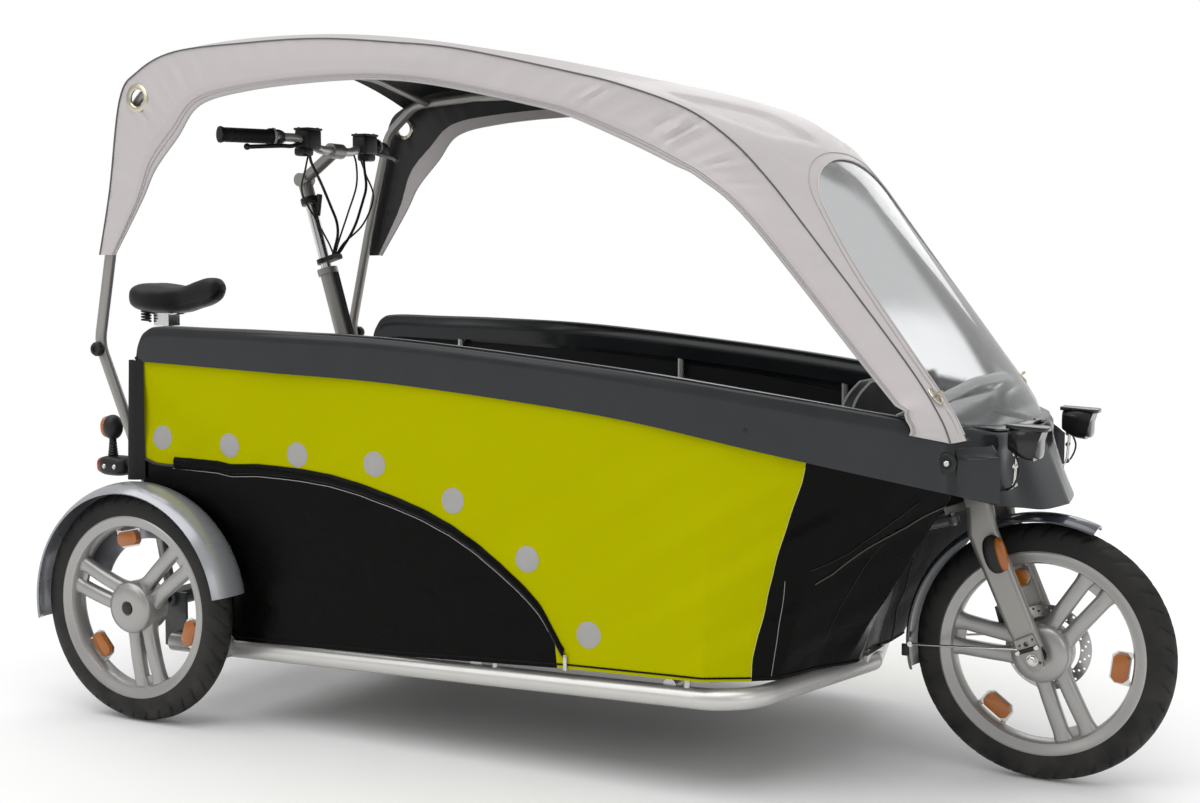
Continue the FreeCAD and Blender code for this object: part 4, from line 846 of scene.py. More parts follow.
# Finishes: cloth and sheet.
CANOPY_SHEET = Finish("canopy_sheet", (0.50, 0.47, 0.465), 0.42, coat=0.08, variation=0.03, grain=1500,
                      relief_mm=0.1, wrinkles_mm=3.0)
CANOPY_HEM = Finish("canopy_hem", (0.48, 0.45, 0.445), 0.42, coat=0.08, variation=0.03, grain=1500,
                    relief_mm=0.1, wrinkles_mm=2.0)
LINING = Finish("canopy_lining", (0.012, 0.012, 0.013), 0.55, Surface.WOVEN, grain=2600, relief_mm=0.1,
                wrinkles_mm=2.0)
PIPING = Finish("dark_piping", (0.10, 0.10, 0.10), 0.5, relief_mm=0.1)
CLEAR_SHEET = Finish("clear_sheet", (0.93, 0.95, 0.96), 0.03, Surface.CLEAR, clear=1.0, variation=0.0,
                     relief_mm=0.02)
NICKEL = Finish("worn_nickel", (0.60, 0.55, 0.44), 0.25, Surface.CAST, metallic=1.0, variation=0.15)
THREAD = Finish("sewing_thread", (0.40, 0.385, 0.38), 0.7)
LIME_CLOTH = Finish("lime_cloth", (0.43, 0.43, 0.001), 0.62, Surface.WOVEN, grain=2200, relief_mm=0.08,
                    variation=0.025, wrinkles_mm=1.0, specular=0.0)
BLACK_CLOTH = Finish("black_cloth", (0.002, 0.002, 0.0018), 0.28, Surface.WOVEN, grain=2200, relief_mm=0.08,
                     variation=0.1, wrinkles_mm=4.0, specular=0.08)
# Dark lining of the side cloths and their rear binding; also painted highlight on two of the front's folds,
# lighter than the black cloth.
LINING_AND_FOLD_HIGHLIGHT = Finish("cloth_lining_and_fold_highlight", (0.02, 0.02, 0.021), 0.6, Surface.WOVEN, grain=2200, specular=0.15)
PALE_PIPING = Finish("pale_piping", (0.46, 0.48, 0.10), 0.6)
# Grey of the front's hem, and also painted highlight along the front's main fold.
HEM_AND_HIGHLIGHT_GREY = Finish("hem_and_highlight_grey", (0.065, 0.064, 0.055), 0.5, specular=0.2)
GREY_DOT = Finish("reflective_dot", (0.36, 0.35, 0.34), 0.35, Surface.WOVEN, grain=1100, relief_mm=0.4,
                  variation=0.05)
ZIP_TEETH = Finish("zip_teeth", (0.02, 0.02, 0.02), 0.4, grain=1500, relief_mm=0.8)
SADDLE_COVER = Finish("saddle_cover", (0.012, 0.012, 0.0125), 0.42, specular=0.22, grain=700, relief_mm=0.5,
                      variation=0.1, wrinkles_mm=0.6)
CUSHION_COVER = Finish("cushion_cover", (0.022, 0.022, 0.024), 0.6, Surface.WOVEN, grain=1800, relief_mm=0.15,
                       wrinkles_mm=2.5)
GREY_EDGE = Finish("grey_edging", (0.40, 0.40, 0.39), 0.5)
# Finishes: metal, bare or lacquered.
FORK_SILVER = Finish("fork_silver", (0.30, 0.288, 0.272), 0.34, Surface.PAINTED, metallic=0.6, coat=0.1,
                     variation=0.06, grain=600, relief_mm=0.06, dust=0.12)
FRAME_SILVER = Finish("frame_silver", (0.62, 0.61, 0.59), 0.34, Surface.PAINTED, metallic=0.6, coat=0.15,
                      variation=0.06, grain=600, relief_mm=0.06, dust=0.12)
FRAME_DARK = Finish("frame_dark", (0.05, 0.055, 0.06), 0.35, Surface.PAINTED, coat=0.3, dust=0.3)
ALLOY = Finish("crank_alloy", (0.50, 0.50, 0.49), 0.3, Surface.CAST, metallic=0.9, dust=0.15)
POLISHED = Finish("polished_tube", (0.66, 0.66, 0.65), 0.14, Surface.BRUSHED, metallic=1.0, variation=0.04)
DISC_STEEL = Finish("disc_steel", (0.42, 0.41, 0.40), 0.25, Surface.BRUSHED, metallic=1.0)
CALIPER = Finish("caliper_black", (0.018, 0.018, 0.02), 0.4, Surface.CAST, dust=0.2)
BRIGHT_STEEL = Finish("bright_steel", (0.60, 0.59, 0.57), 0.22, Surface.BRUSHED, metallic=1.0, variation=0.1)
WHEEL_SILVER = Finish("cast_silver", (0.36, 0.355, 0.345), 0.32, Surface.CAST, metallic=0.6, coat=0.2,
                      variation=0.07, grain=700, relief_mm=0.12, dust=0.12)
SLATE_GLOSS = Finish("slate_gloss", (0.045, 0.052, 0.068), 0.18, Surface.PAINTED, coat=0.6, variation=0.05,
                     grain=260, relief_mm=0.08, dust=0.25)
FENDER_SILVER = Finish("fender_silver", (0.36, 0.37, 0.40), 0.26, Surface.PAINTED, metallic=0.45, coat=0.5,
                       variation=0.05, grain=260, relief_mm=0.06, dust=0.2)
# Finishes: plastic, rubber, laminate and board.
RIM_SHELL = Finish("rim_laminate", (0.016, 0.0185, 0.021), 0.2, Surface.PAINTED, coat=0.15, specular=0.3,
                   variation=0.05, grain=260, relief_mm=0.12, dust=0.1)
BLACK_PLASTIC = Finish("black_plastic", (0.014, 0.014, 0.014), 0.38, variation=0.12, relief_mm=0.1, dust=0.05,
                       specular=0.3)
GLOSS_BLACK = Finish("gloss_black", (0.010, 0.010, 0.010), 0.16, Surface.PAINTED, coat=0.15, variation=0.06,
                     relief_mm=0.05, specular=0.4)
CABLE = Finish("cable_black", (0.010, 0.010, 0.010), 0.35, relief_mm=0.05, specular=0.3)
RUBBER = Finish("black_rubber", (0.009, 0.009, 0.009), 0.6, relief_mm=0.2, dust=0.06, specular=0.25)
TYRE_RUBBER = Finish("tyre_rubber", (0.010, 0.010, 0.010), 0.6, grain=1400, relief_mm=0.2, variation=0.12,
                     dust=0.12, specular=0.25)
BATTERY = Finish("battery_case", (0.03, 0.03, 0.032), 0.5, relief_mm=0.3, dust=0.2)
BENCH_BOARD = Finish("bench_board", (0.33, 0.22, 0.12), 0.5, Surface.BOARD, variation=0.2, grain=500,
                     relief_mm=0.25)
FLOOR_BOARD = Finish("floor_board", (0.045, 0.042, 0.04), 0.6, Surface.BOARD, variation=0.2, grain=300,
                     relief_mm=0.5, dust=0.4)
AMBER = Finish("amber_lens", (0.36, 0.10, 0.002), 0.12, Surface.CLEAR, coat=0.5, grain=420, relief_mm=0.8,
               variation=0.2)
RED_LENS = Finish("red_lens", (0.28, 0.01, 0.01), 0.12, Surface.CLEAR, coat=0.5, grain=420, relief_mm=0.6)
LAMP_LENS = Finish("lamp_lens", (0.09, 0.09, 0.088), 0.12, Surface.CLEAR, metallic=0.4, coat=0.3, grain=260,
                   relief_mm=1.0)


# ---------------------------------------------------------------- canopy


# Columns: seam from the front axle, its height and half width; the crown's lead and rise over the seam;
# the side band's lower edge from the front axle, its height and half width. The first three rows are flaps.
CANOPY_ROWS = [
    (-2081, 1081, 532, 0, 85, -2035, 1081, 532),
    (-2046, 1230, 532, 0, 85, -1949, 1206, 532),
    (-2010, 1435, 532, 0, 85, -1908, 1274, 532),
    (-1956, 1495, 532, 0, 85, -1840, 1345, 532),
    (-1846, 1535, 532, 0, 75, -1773, 1415, 532),
    (-1641, 1544, 532, 0, 65, -1631, 1442, 532),
    (-1447, 1543, 530, 0, 45, -1430, 1453, 529),
    (-1264, 1526, 526, 0, 30, -1280, 1450, 526),
    (-1097, 1504, 517, 0, 20, -1140, 1431, 519),
    (-859, 1450, 480, 4, 20, -940, 1387, 506),
    (-752, 1421, 455, 7, 23, -850, 1361, 496),
    (-637, 1375, 405, 17, 32, -727, 1307, 475),
    (-554, 1315, 378, 38, 40, -640, 1264, 459),
    (-484, 1240, 358, 45, 40, -585, 1235, 450),
    (-405, 1140, 344, 47, 37, -485, 1149, 435),
    (-203, 884, 330, 49, 35, -265, 882, 405),
    (-129, 781, 341, 53, 31, -173, 775, 403),
    (-105, 729, 343, 78, 10, -166, 746, 402),
]
# Columns: row of the canopy's table, share across: both edges of the slack panel in front of the bow.
SLACK_OUTER = [(10.3, 0.84), (11.3, 0.90), (12.1, 0.70), (12.35, 0.40), (12.45, 0.20)]
SLACK_INNER = [(10.3, 0.82), (10.75, 0.60), (11.1, 0.42), (11.5, 0.28), (12.45, 0.18)]
# Columns: half width, height: the clear window's edge on one side, from the foot up to its middle.
WINDOW_EDGE = [(302, 700), (300, 800), (295, 930), (290, 1025), (280, 1090), (265, 1148), (240, 1208),
               (180, 1256), (90, 1283), (0, 1290)]
CANOPY_END = len(CANOPY_ROWS) - 1
# Puckers that the sewn seam pulls into a side band, as waves over the rows of the canopy's table.
PUCKERS = ((1.0, 17.0, 0.0), (0.7, 29.0, 1.3), (0.4, 53.0, 0.0))
# Profiles: radius and distance along the axis.
GROMMET_HOLE = [(0, -30), (20, -30), (20, 30), (0, 30)]
GROMMET_RING = [(20, -4), (29, -4), (32, 0), (32, 2), (28, 3.5), (22, 3.5), (19.5, 1), (20, -4)]
TUBE_KNOB = [(0, -4), (15, -4), (17, 0), (17, 9), (14, 14), (7, 14), (7, 11), (0, 11)]


@dataclass
class Canopy:
    """Rain canopy: one curved sheet with side bands and a clear front window."""

    steps: int = 8
    flap_rows: int = 3
    band_rows: int = 8
    hem_row: int = 6
    bow_row: float = 11.4
    wall_mm: float = 2.4
    seam_bead_mm: float = 1.8
    stitch_mm: float = 0.7
    hem_bead_mm: float = 2.4
    hem_mm: float = 14.0
    hem_stitches: tuple[float, float] = (0.87, 0.92)
    pucker_mm: float = 2.6
    belly_mm: float = 3.0
    foot_mm: tuple[float, float] = (-176.0, 801.0)
    slack_mm: float = 9.0
    slack_edge: float = 0.09
    screen_wall_mm: float = 1.6
    weld_mm: float = 8.0
    window_foot_mm: float = 735.0
    cutter_rear_mm: float = -610.0
    cutter_reach_mm: float = 750.0

    def seam(self, place: float, side: float) -> Vector:
        """Point on the sewn seam between roof and side band."""
        row = row_at(CANOPY_ROWS, place)
        return from_front(row[0], side * row[2], row[1])

    def band(self, place: float, drop: float, side: float) -> Vector:
        """Point on a side band.

        Args:
            place: row of the table.
            drop: 0 on the seam, 1 on the lower edge.
            side: -1 to the right, 1 to the left.

        Returns:
            The point, with the puckers that the seam pulls into the sheet.
        """
        row = row_at(CANOPY_ROWS, place)
        start = Vector((row[0], row[2], row[1]))
        end = Vector((row[5], row[7], row[6]))
        if end.z < self.foot_mm[1]:
            end.x = max(end.x, self.foot_mm[0])
        point = start.lerp(end, drop)
        fade = math.sin(math.pi * min(1.0, drop * 1.15)) * (1.0 - 0.6 * drop)
        fade *= 1.0 + 1.2 * max(0.0, 1.0 - abs(place - self.bow_row) / 1.6)
        belly = self.belly_mm * math.sin(math.pi * drop)
        pucker = self.pucker_mm * waves(PUCKERS, place) * fade
        return from_front(point.x, side * (point.y + belly + pucker), point.z)

    def roof(self, place: float, across: float) -> Vector:
        """Point on the roof.

        Args:
            place: row of the table.
            across: from -1 on the right seam to 1 on the left one.

        Returns:
            The point on the arch over the two seams.
        """
        row = row_at(CANOPY_ROWS, place)
        half, lead, rise = row[2], row[3], max(row[4], 6.0)
        bulge = math.hypot(lead, rise)
        radius = (half * half + bulge * bulge) / (2 * bulge)
        spread = math.asin(min(1.0, half / radius))
        lift = radius * math.cos(across * spread) - (radius - bulge)
        edge = max(0.0, 1.0 - (1.0 - abs(across)) * 9.0)
        ripple = self.pucker_mm * 0.5 * math.sin(place * 23.0) * edge * (1.0 - edge) * 4.0
        ripple -= self.slack(place, abs(across))
        return from_front(row[0] + (lift + ripple) * lead / bulge, radius * math.sin(across * spread),
                          row[1] + (lift + ripple) * rise / bulge)

    def slack(self, place: float, across: float) -> float:
        """Depth by which the slack panel sinks at a place on the roof.

        Args:
            place: row of the table.
            across: 0 in the middle, 1 on a seam.

        Returns:
            The depth in mm.
        """
        if not SLACK_OUTER[0][0] < place < SLACK_OUTER[-1][0]:
            return 0.0
        within = min(along_line(SLACK_OUTER, place) - across, across - along_line(SLACK_INNER, place))
        share = unit(within / self.slack_edge)
        return self.slack_mm * share * share * (3 - 2 * share)

    def build(self) -> None:
        """Builds the sheet, its window, seams, hems and fittings."""
        roof_rows = CANOPY_END - self.flap_rows
        roof = curved_sheet("canopy_roof", roof_rows * self.steps, 36,
                            lambda u, v: self.roof(self.flap_rows + u * roof_rows, 2 * v - 1))
        edge, hem = self.window_line(roof, 0), self.window_line(roof, self.hem_mm)
        self.clear_window(roof)
        columns = CANOPY_END * self.steps
        bands = [curved_sheet("canopy_band", columns, self.band_rows,
                              lambda u, v, side=side: self.band(u * CANOPY_END, v, side)) for side in SIDES]
        for piece in [roof] + bands:
            for finish in (CANOPY_SHEET, CANOPY_HEM):
                piece.data.materials.append(finish.material())
        for band in bands:
            for face in band.data.polygons:
                face.material_index = int(face.index // columns >= self.hem_row)
        sheet = joined("canopy_sheet", [roof] + bands)
        face_outwards(sheet, 4e-4)
        self.turn_up(sheet)
        for finish in (LINING, CANOPY_HEM):
            sheet.data.materials.append(finish.material())
        apply_modifier(sheet, "SOLIDIFY", thickness=self.wall_mm * MM, offset=-1.0, material_offset=2)
        carve(sheet, self.window_cutter(0))
        self.fit(sheet)
        dress(sheet, None, "chassis", ["canopy_cloth"])
        trim = self.seams(edge, hem)

    def turn_up(self, sheet: Piece) -> None:
        """Turns an open sheet's faces so that the roof's look up."""
        highest = max(sheet.data.polygons, key=lambda face: face.center.z)
        face_towards(sheet, highest.index, UP)

    def window_outline(self, grow: float) -> list[tuple[float, float]]:
        """Edge of the window, moved outward by a distance.

        Args:
            grow: the distance in mm.

        Returns:
            Its points as (y, z) in mm.
        """
        half = [(y + grow, z + grow * (0.3 if y > 260 else 1.0)) for y, z in WINDOW_EDGE]
        whole = half[:-1] + [(0.0, half[-1][1])] + [(-y, z) for y, z in half[:-1][::-1]]
        return [(point.x, point.z) for point in smooth_route([Vector((y, 0, z)) for y, z in whole], 4)]

    def window_cutter(self, grow: float) -> Piece:
        """Prism fore and aft through the window."""
        outline = [from_front(self.cutter_rear_mm, y, z) for y, z in self.window_outline(grow)]
        return plate("window_cutter", outline, Vector((self.cutter_reach_mm * MM, 0, 0)))

    def window_line(self, roof: Piece, grow: float) -> list[Vector]:
        """Line on the roof round the window, from foot to foot.

        Args:
            roof: the roof's open sheet.
            grow: distance of the line outside the window, in mm.

        Returns:
            The points of the line, just off the sheet.
        """
        line = []
        for y, z in self.window_outline(grow):
            start = from_front(300, y, z)
            hit, spot, _normal, _face = roof.ray_cast(start, Vector((-1, 0, 0)))
            if hit and z > self.window_foot_mm:
                line.append(spot + Vector((0.0008, 0, 0.0006)))
        return line

    def clear_window(self, roof: Piece) -> None:
        """Clear front sheet, welded behind the window's edge.

        Args:
            roof: the roof's open sheet.
        """
        pane = copied(roof, "clear_window", Matrix.Translation((-0.0015, 0, -0.0015)))
        self.turn_up(pane)
        thicken(pane, self.screen_wall_mm)
        apply_modifier(pane, "BOOLEAN", operation="INTERSECT", object=self.window_cutter(self.weld_mm),
                       solver="EXACT")
        bpy.data.objects.remove(bpy.data.objects["window_cutter"], do_unlink=True)
        dress(pane, CLEAR_SHEET, "chassis", ["windscreen"])

    def fit(self, sheet: Piece) -> None:
        """Presses a ring into each rear corner, and adds twist buttons at the feet and knobs on the tubes.

        Args:
            sheet: the canopy's sheet.
        """
        parts = []
        for side in SIDES:
            spot, outward = from_front(-1955, side * 534, 1437), side * ACROSS
            carve(sheet, turned("grommet_hole", GROMMET_HOLE, spot, outward, 32))
            ring = turned("ring", GROMMET_RING, spot, outward, 36)
            parts += painted(NICKEL, ring, *self.twist_button(sheet, side))
        for side in SIDES:
            knob = turned("tube_knob", TUBE_KNOB, from_front(-2108, side * 514, 860), side * ACROSS, 28)
            parts.append(paint(knob, BLACK_PLASTIC))
        dress(joined("canopy_fittings", parts), None, "chassis")

    def twist_button(self, sheet: Piece, side: float) -> list[Piece]:
        """Oval eyelet and turning pin, flat on the sheet beside the seam near one foot.

        Args:
            sheet: the canopy's sheet.
            side: -1 to the right, 1 to the left.

        Returns:
            Its eyelet, pin and bar.
        """
        bpy.context.view_layer.update()
        _found, spot, outward, _face = sheet.closest_point_on_mesh(from_front(-141, side * 322, 818))
        spot = spot + outward * 0.0012
        along = Vector((0.5, 0.05 * side, -0.86))
        along = (along - outward * along.dot(outward)).normalized()
        aside = along.cross(outward).normalized()
        oval = [spot + along * 0.019 * math.cos(turn) + aside * 0.010 * math.sin(turn)
                for turn in (math.tau * step / 24 for step in range(24))]
        pin = [spot - outward * 0.004, spot + outward * 0.010]
        bar = [pin[1] - aside * 0.013, pin[1] + aside * 0.013]
        return [tube("eyelet", oval, 2.4, closed=True, sides=8), tube("pin", pin, 2.6, sides=10),
                tube("bar", bar, 3.0, sides=10)]

    def seams(self, edge: list[Vector], hem: list[Vector]) -> Piece:
        """Piping, hems and stitch lines, all sewn on.

        Args:
            edge: line round the window.
            hem: stitch line round the window.

        Returns:
            The piece.
        """
        count = CANOPY_END * self.steps
        places = [CANOPY_END * step / count for step in range(count + 1)]
        bead = paint(tube("window_bead", edge, self.seam_bead_mm, sides=8), CANOPY_SHEET)
        piped, stitched = [], [tube("window_stitch", hem, self.stitch_mm, sides=6)]
        for side in SIDES:
            out = Vector((0, side * 0.0012, 0))
            seam = [self.seam(place, side) + out for place in places]
            piped.append(tube("seam_bead", seam, self.seam_bead_mm, sides=8))
            for drop in self.hem_stitches:
                line = [self.band(place, drop, side) + out for place in places]
                stitched.append(tube("hem_stitch", line, self.stitch_mm, sides=6))
            line = [self.band(place, 0.995, side) for place in places]
            stitched.append(tube("hem_bead", line, self.hem_bead_mm, sides=8))
        parts = painted(PIPING, *piped) + painted(THREAD, *stitched) + [bead]
        return dress(joined("canopy_seams", parts), None, "chassis")


# ---------------------------------------------------------------- studio


# Soft lights: name, place, what it points at, power, size.
LIGHTS = (("key", (-2.6, -4.6, 3.2), (0, 0, 0.6), 30.0, 2.4),
          ("fill", (4.6, -2.2, 2.2), (0.6, 0, 0.5), 16.0, 2.0),
          ("back", (-0.5, 4.6, 3.2), (0, 0, 0.9), 30.0, 3.0))


def stand(name: str, data: bpy.types.ID, place: Sequence[float], turn: Sequence[float]) -> Piece:
    """Puts a camera or a light in the scene.

    Args:
        name: its name.
        data: the camera or the light.
        place: where it stands.
        turn: its Euler angles in radians.

    Returns:
        The object.
    """
    holder = bpy.data.objects.new(name, data)
    holder.location = place
    holder.rotation_euler = turn
    bpy.context.collection.objects.link(holder)
    return holder


@dataclass
class Studio:
    """Pale floor, soft lights and the camera."""

    camera_mm: tuple[float, float, float] = (826.0, -3524.0, 1084.0)
    lean_degrees: tuple[float, float, float] = (85.12, -0.19, 27.966)
    lens: float = 51.405
    surround: float = 0.55
    overhead: float = 2.1

    def build(self) -> None:
        """Sets the whole studio up."""
        self.floor()
        self.lights()
        lens = bpy.data.cameras.new("camera")
        lens.lens = self.lens
        lens.sensor_width = 36.0
        bpy.context.scene.camera = stand("camera", lens, from_front(*self.camera_mm),
                                         [math.radians(angle) for angle in self.lean_degrees])

    def floor(self) -> None:
        """Wide pale floor, just under the wheels."""
        floor = new_piece("studio_floor", bpy.ops.mesh.primitive_plane_add, size=60, location=(0, 0, -0.0005))
        paint(floor, Finish("pale_floor", (0.86, 0.86, 0.86), 0.7, variation=0.004, relief_mm=0.02))

    def lights(self) -> None:
        """White surround that lights less than it shows, three large soft lights and one from above."""
        scene = bpy.context.scene
        scene.view_settings.view_transform = "Standard"
        world = bpy.data.worlds.new("surround")
        world.use_nodes = True
        background = world.node_tree.nodes["Background"].inputs
        background["Color"].default_value = (1.0, 1.0, 1.0, 1)
        seen = node(world.node_tree, "LightPath").outputs["Is Camera Ray"]
        strength = remap(world.node_tree, seen, 0.0, 1.0, self.surround, 1.0)
        world.node_tree.links.new(strength, background["Strength"])
        scene.world = world
        for name, place, target, power, size in LIGHTS:
            lamp = bpy.data.lights.new(name, "AREA")
            lamp.energy = power
            lamp.size = size
            stand(name, lamp, place, (Vector(target) - Vector(place)).to_track_quat("-Z", "Y").to_euler())
        sky = bpy.data.lights.new("top", "SUN")
        sky.energy = self.overhead
        sky.angle = math.radians(75)
        stand("top", sky, (0, 0, 6), (math.radians(8), math.radians(-6), 0))


# Columns: from the front axle, half width over the rim, top above the ground, lower edge above the ground,
# how far the top leans back and inwards, how deep the wall is hollowed.
RIM_ROWS = [
    (-2015, 492, 846, 834, 0, 0, 0), (-2008, 492, 880, 833, 0, 0, 0), (-1988, 493, 905, 832, 0, 0, 0),
    (-1945, 494, 916, 831, 0, 0, 0), (-1800, 495, 915, 826, 0, 0, 0), (-1600, 496, 913, 819, 0, 0, 0),
    (-1280, 482, 902, 805, 0, 0, 0), (-800, 468, 860, 760, 0, 0, 0), (-450, 450, 818, 702, 0, 0, 0),
    (-170, 388, 776, 648, 0, 0, 0), (-100, 328, 761, 627, 7, 15, 0), (-30, 268, 745, 606, 20, 38, 5),
    (0, 196, 742, 595, 38, 26, 12), (28, 120, 741, 584, 56, 8, 3), (45, 0, 741, 580, 66, 0, 0),
]
RIM_END = len(RIM_ROWS) - 1
# Columns: from the front axle, half width: the nose's top edge.
NOSE_TOP = [(-450, 450), (-170, 388), (-110, 300), (-50, 230), (-36, 160), (-28, 112), (-21, 40)]
DECK_HOLE = [(0, -60), (46, -60), (46, 60), (0, 60)]
TURN_KNOB = [(0, -3), (19, -3), (21, 3), (20, 9), (14, 13), (10, 13.5), (9, 11), (0, 11)]
KNOB_STUD = [(0, 10), (6, 10), (6, 13), (4, 14.5), (0, 14.8)]
RIM_RIVET = [(0, -2), (6, -2), (5, 1.2), (2.5, 2.2), (0, 2.4)]


def rim_at(x_mm: float) -> Vector:
    """Row of the rim table at a distance from the front axle.

    Args:
        x_mm: the distance.

    Returns:
        The values of the columns.
    """
    for near, far in zip(RIM_ROWS, RIM_ROWS[1:]):
        if near[0] <= x_mm <= far[0]:
            return Vector(near).lerp(Vector(far), (x_mm - near[0]) / (far[0] - near[0]))
    return Vector(RIM_ROWS[0] if x_mm < RIM_ROWS[0][0] else RIM_ROWS[-1])


@dataclass
class TubRim:
    """Moulded laminate rim: deep skirt, rolled top, ledge, inner lip and nose deck."""

    steps: int = 6
    wall_mm: float = 4.0
    ledge_mm: float = 34.0
    lip_mm: float = 62.0
    corner_mm: float = 11.0
    nose_lead_mm: float = -21.0
    pad_top_mm: float = 698.0
    deck_rear_mm: float = -205.0

    def section(self, place: float, share: float) -> tuple[float, float, float]:
        """Point of the section at a row: x, half width and height in mm.

        Args:
            place: row of the table.
            share: from 0 at the skirt's foot to 1 at the inner lip's foot.

        Returns:
            The point.
        """
        x, half, top, low, back, inward, hollow = row_at(RIM_ROWS, place)
        ahead, behind = row_at(RIM_ROWS, min(place + 0.02, RIM_END)), row_at(RIM_ROWS, max(place - 0.02, 0))
        run = Vector((ahead[0] - behind[0], ahead[1] - behind[1])).normalized()
        if place > RIM_END - 0.01:
            run = Vector((0, -1))
        corner = self.corner_mm
        profile = [(0, low), (0, low + (top - low) * 0.2), (0, low + (top - low) * 0.55), (0, top - corner),
                   (corner * 0.3, top - corner * 0.3), (corner, top), (self.ledge_mm - 5, top),
                   (self.ledge_mm, top - 5), (self.ledge_mm, top - self.lip_mm)]
        inset, z = straight_at(profile, share * (len(profile) - 1))
        rise = unit((z - low) / (top - low))
        inset += hollow * math.sin(math.pi * min(1.0, rise * 1.1))
        return x - back * rise + run.y * inset, max(0.0, half - inward * rise - run.x * inset), z

    def skin(self, u: float, v: float) -> Vector:
        """Point on the skin.

        Args:
            u: share of the way from the right rear end round the nose to the left one.
            v: share of the way from the skirt's foot to the inner lip's.

        Returns:
            The point.
        """
        side = -1 if u < 0.5 else 1
        x, y, z = self.section((1 - abs(2 * u - 1)) * RIM_END, v)
        return from_front(x, side * y, z)

    def build(self) -> None:
        """Builds the rim, its deck and its small fittings."""
        skirt = face_outwards(curved_sheet("rim_skin", 2 * RIM_END * self.steps, 16, self.skin))
        near_flank = from_front(-1200, -484, 850)
        flank = min(skirt.data.polygons, key=lambda face: (face.center - near_flank).length)
        thicken(face_towards(skirt, flank.index, -ACROSS), self.wall_mm)
        deck = thicken(face_towards(curved_sheet("nose_deck", 24, 40, self.deck_point), 0, UP), self.wall_mm)
        carve(deck, turned("deck_hole", DECK_HOLE, from_front(-75, 0, 750), UP, 40))
        pads = [self.pad(side) for side in SIDES]
        dress(joined("rim_shell", [skirt, deck] + pads), RIM_SHELL, "chassis", ["tub_rim"],
              crease=50)
        self.fittings()

    def deck_point(self, u: float, v: float) -> Vector:
        """Point on the deck over the nose.

        Args:
            u: share of the way forward.
            v: share of the way from right to left.

        Returns:
            The point.
        """
        x = self.deck_rear_mm + u * (self.nose_lead_mm - 4 - self.deck_rear_mm)
        half = along_line(NOSE_TOP, x) - 10
        return from_front(x, (2 * v - 1) * half, rim_at(x)[2] - 1.5 + 5 * math.sin(math.pi * v) * u)

    def pad(self, side: float) -> Piece:
        """Step moulded into the skirt beside the nose: upright face, narrow ledge and a turned front end.

        Args:
            side: -1 to the right, 1 to the left.

        Returns:
            The step.
        """
        def place(u: float, v: float) -> Vector:
            """Point on the step.

            Args:
                u: share along it, from 0 to 1.
                v: share across it, from 0 to 1.

            Returns:
                The point.
            """
            along = min(u / 0.8, 1.0)
            x, turned_in = -96 + 67 * along, 28 * max(0.0, (u - 0.8) / 0.2)
            low = rim_at(x)[3] + 1
            ledge = max(0.0, (v - 0.75) / 0.25)
            start = 1 - (1 - min(1.0, along * 3)) ** 2
            z = low + (self.pad_top_mm - low) * min(v / 0.75, 1.0) + 20 * ledge
            y = 388 - (x + 170) * 0.857 + 1.5 * start
            inset = -1.5 + max(turned_in, ledge * (8 + 24 * along)) + (1 - start) * 6
            return from_front(x - 0.65 * inset - 0.2 * turned_in, side * (y - 0.76 * inset), z)
        pad = curved_sheet("rim_pad", 30, 24, place)
        face_towards(pad, len(pad.data.polygons) // 2, side * ACROSS)
        return round_edges(thicken(pad, 2.5), 0.8, 2, 50)

    def fittings(self) -> None:
        """Turn buttons for the canopy and a rivet on each side."""
        parts = []
        for side in SIDES:
            spot = from_front(-116, side * 338, 690)
            outward = Vector((0.45, side, 0)).normalized()
            rivet_spot = from_front(-484, side * 453, 745)
            parts += painted(BLACK_PLASTIC, turned("knob", TURN_KNOB, spot, outward, 32))
            parts += painted(BRIGHT_STEEL, turned("stud", KNOB_STUD, spot, outward, 6))
            parts += painted(BLACK_PLASTIC, turned("rivet", RIM_RIVET, rivet_spot, side * ACROSS, 16))
        dress(joined("rim_fittings", parts), None, "chassis")


# Columns: top corner from the front axle, half width, height; bottom corner from the front axle, half width,
# height. Where the top corner's half width and height are 0, it is tucked up inside the rim.
SIDE_ROWS = [
    (-2004, 0, 0, -2004, 487, 520), (-1740, 0, 0, -1740, 481, 196), (-1280, 0, 0, -1280, 481, 212),
    (-845, 0, 0, -845, 480, 233), (-560, 0, 0, -560, 478, 240), (-440, 0, 0, -481, 418, 238),
    (-300, 0, 0, -436, 372, 237), (-190, 0, 0, -404, 256, 236), (-110, 306, 622, -366, 184, 236),
    (-201, 200, 555, -350, 150, 236), (-307, 50, 490, -362, 85, 228), (-316, 44, 478, -372, 46, 228),
]
SIDE_END = len(SIDE_ROWS) - 1
# Columns: row of the side's table, share of the way down. The zip rises from the rear edge, runs level and
# drops to the lower edge; past its end it stays there.
ZIP_LINE = [(0, 0.767), (0.19, 0.653), (0.38, 0.568), (0.53, 0.512), (0.69, 0.465), (0.85, 0.425),
            (1.0, 0.392), (1.3, 0.392), (1.6, 0.400), (1.95, 0.458), (2.3, 0.533), (2.58, 0.658),
            (2.8, 0.792), (2.93, 0.95), (3.0, 0.998), (11, 0.998)]
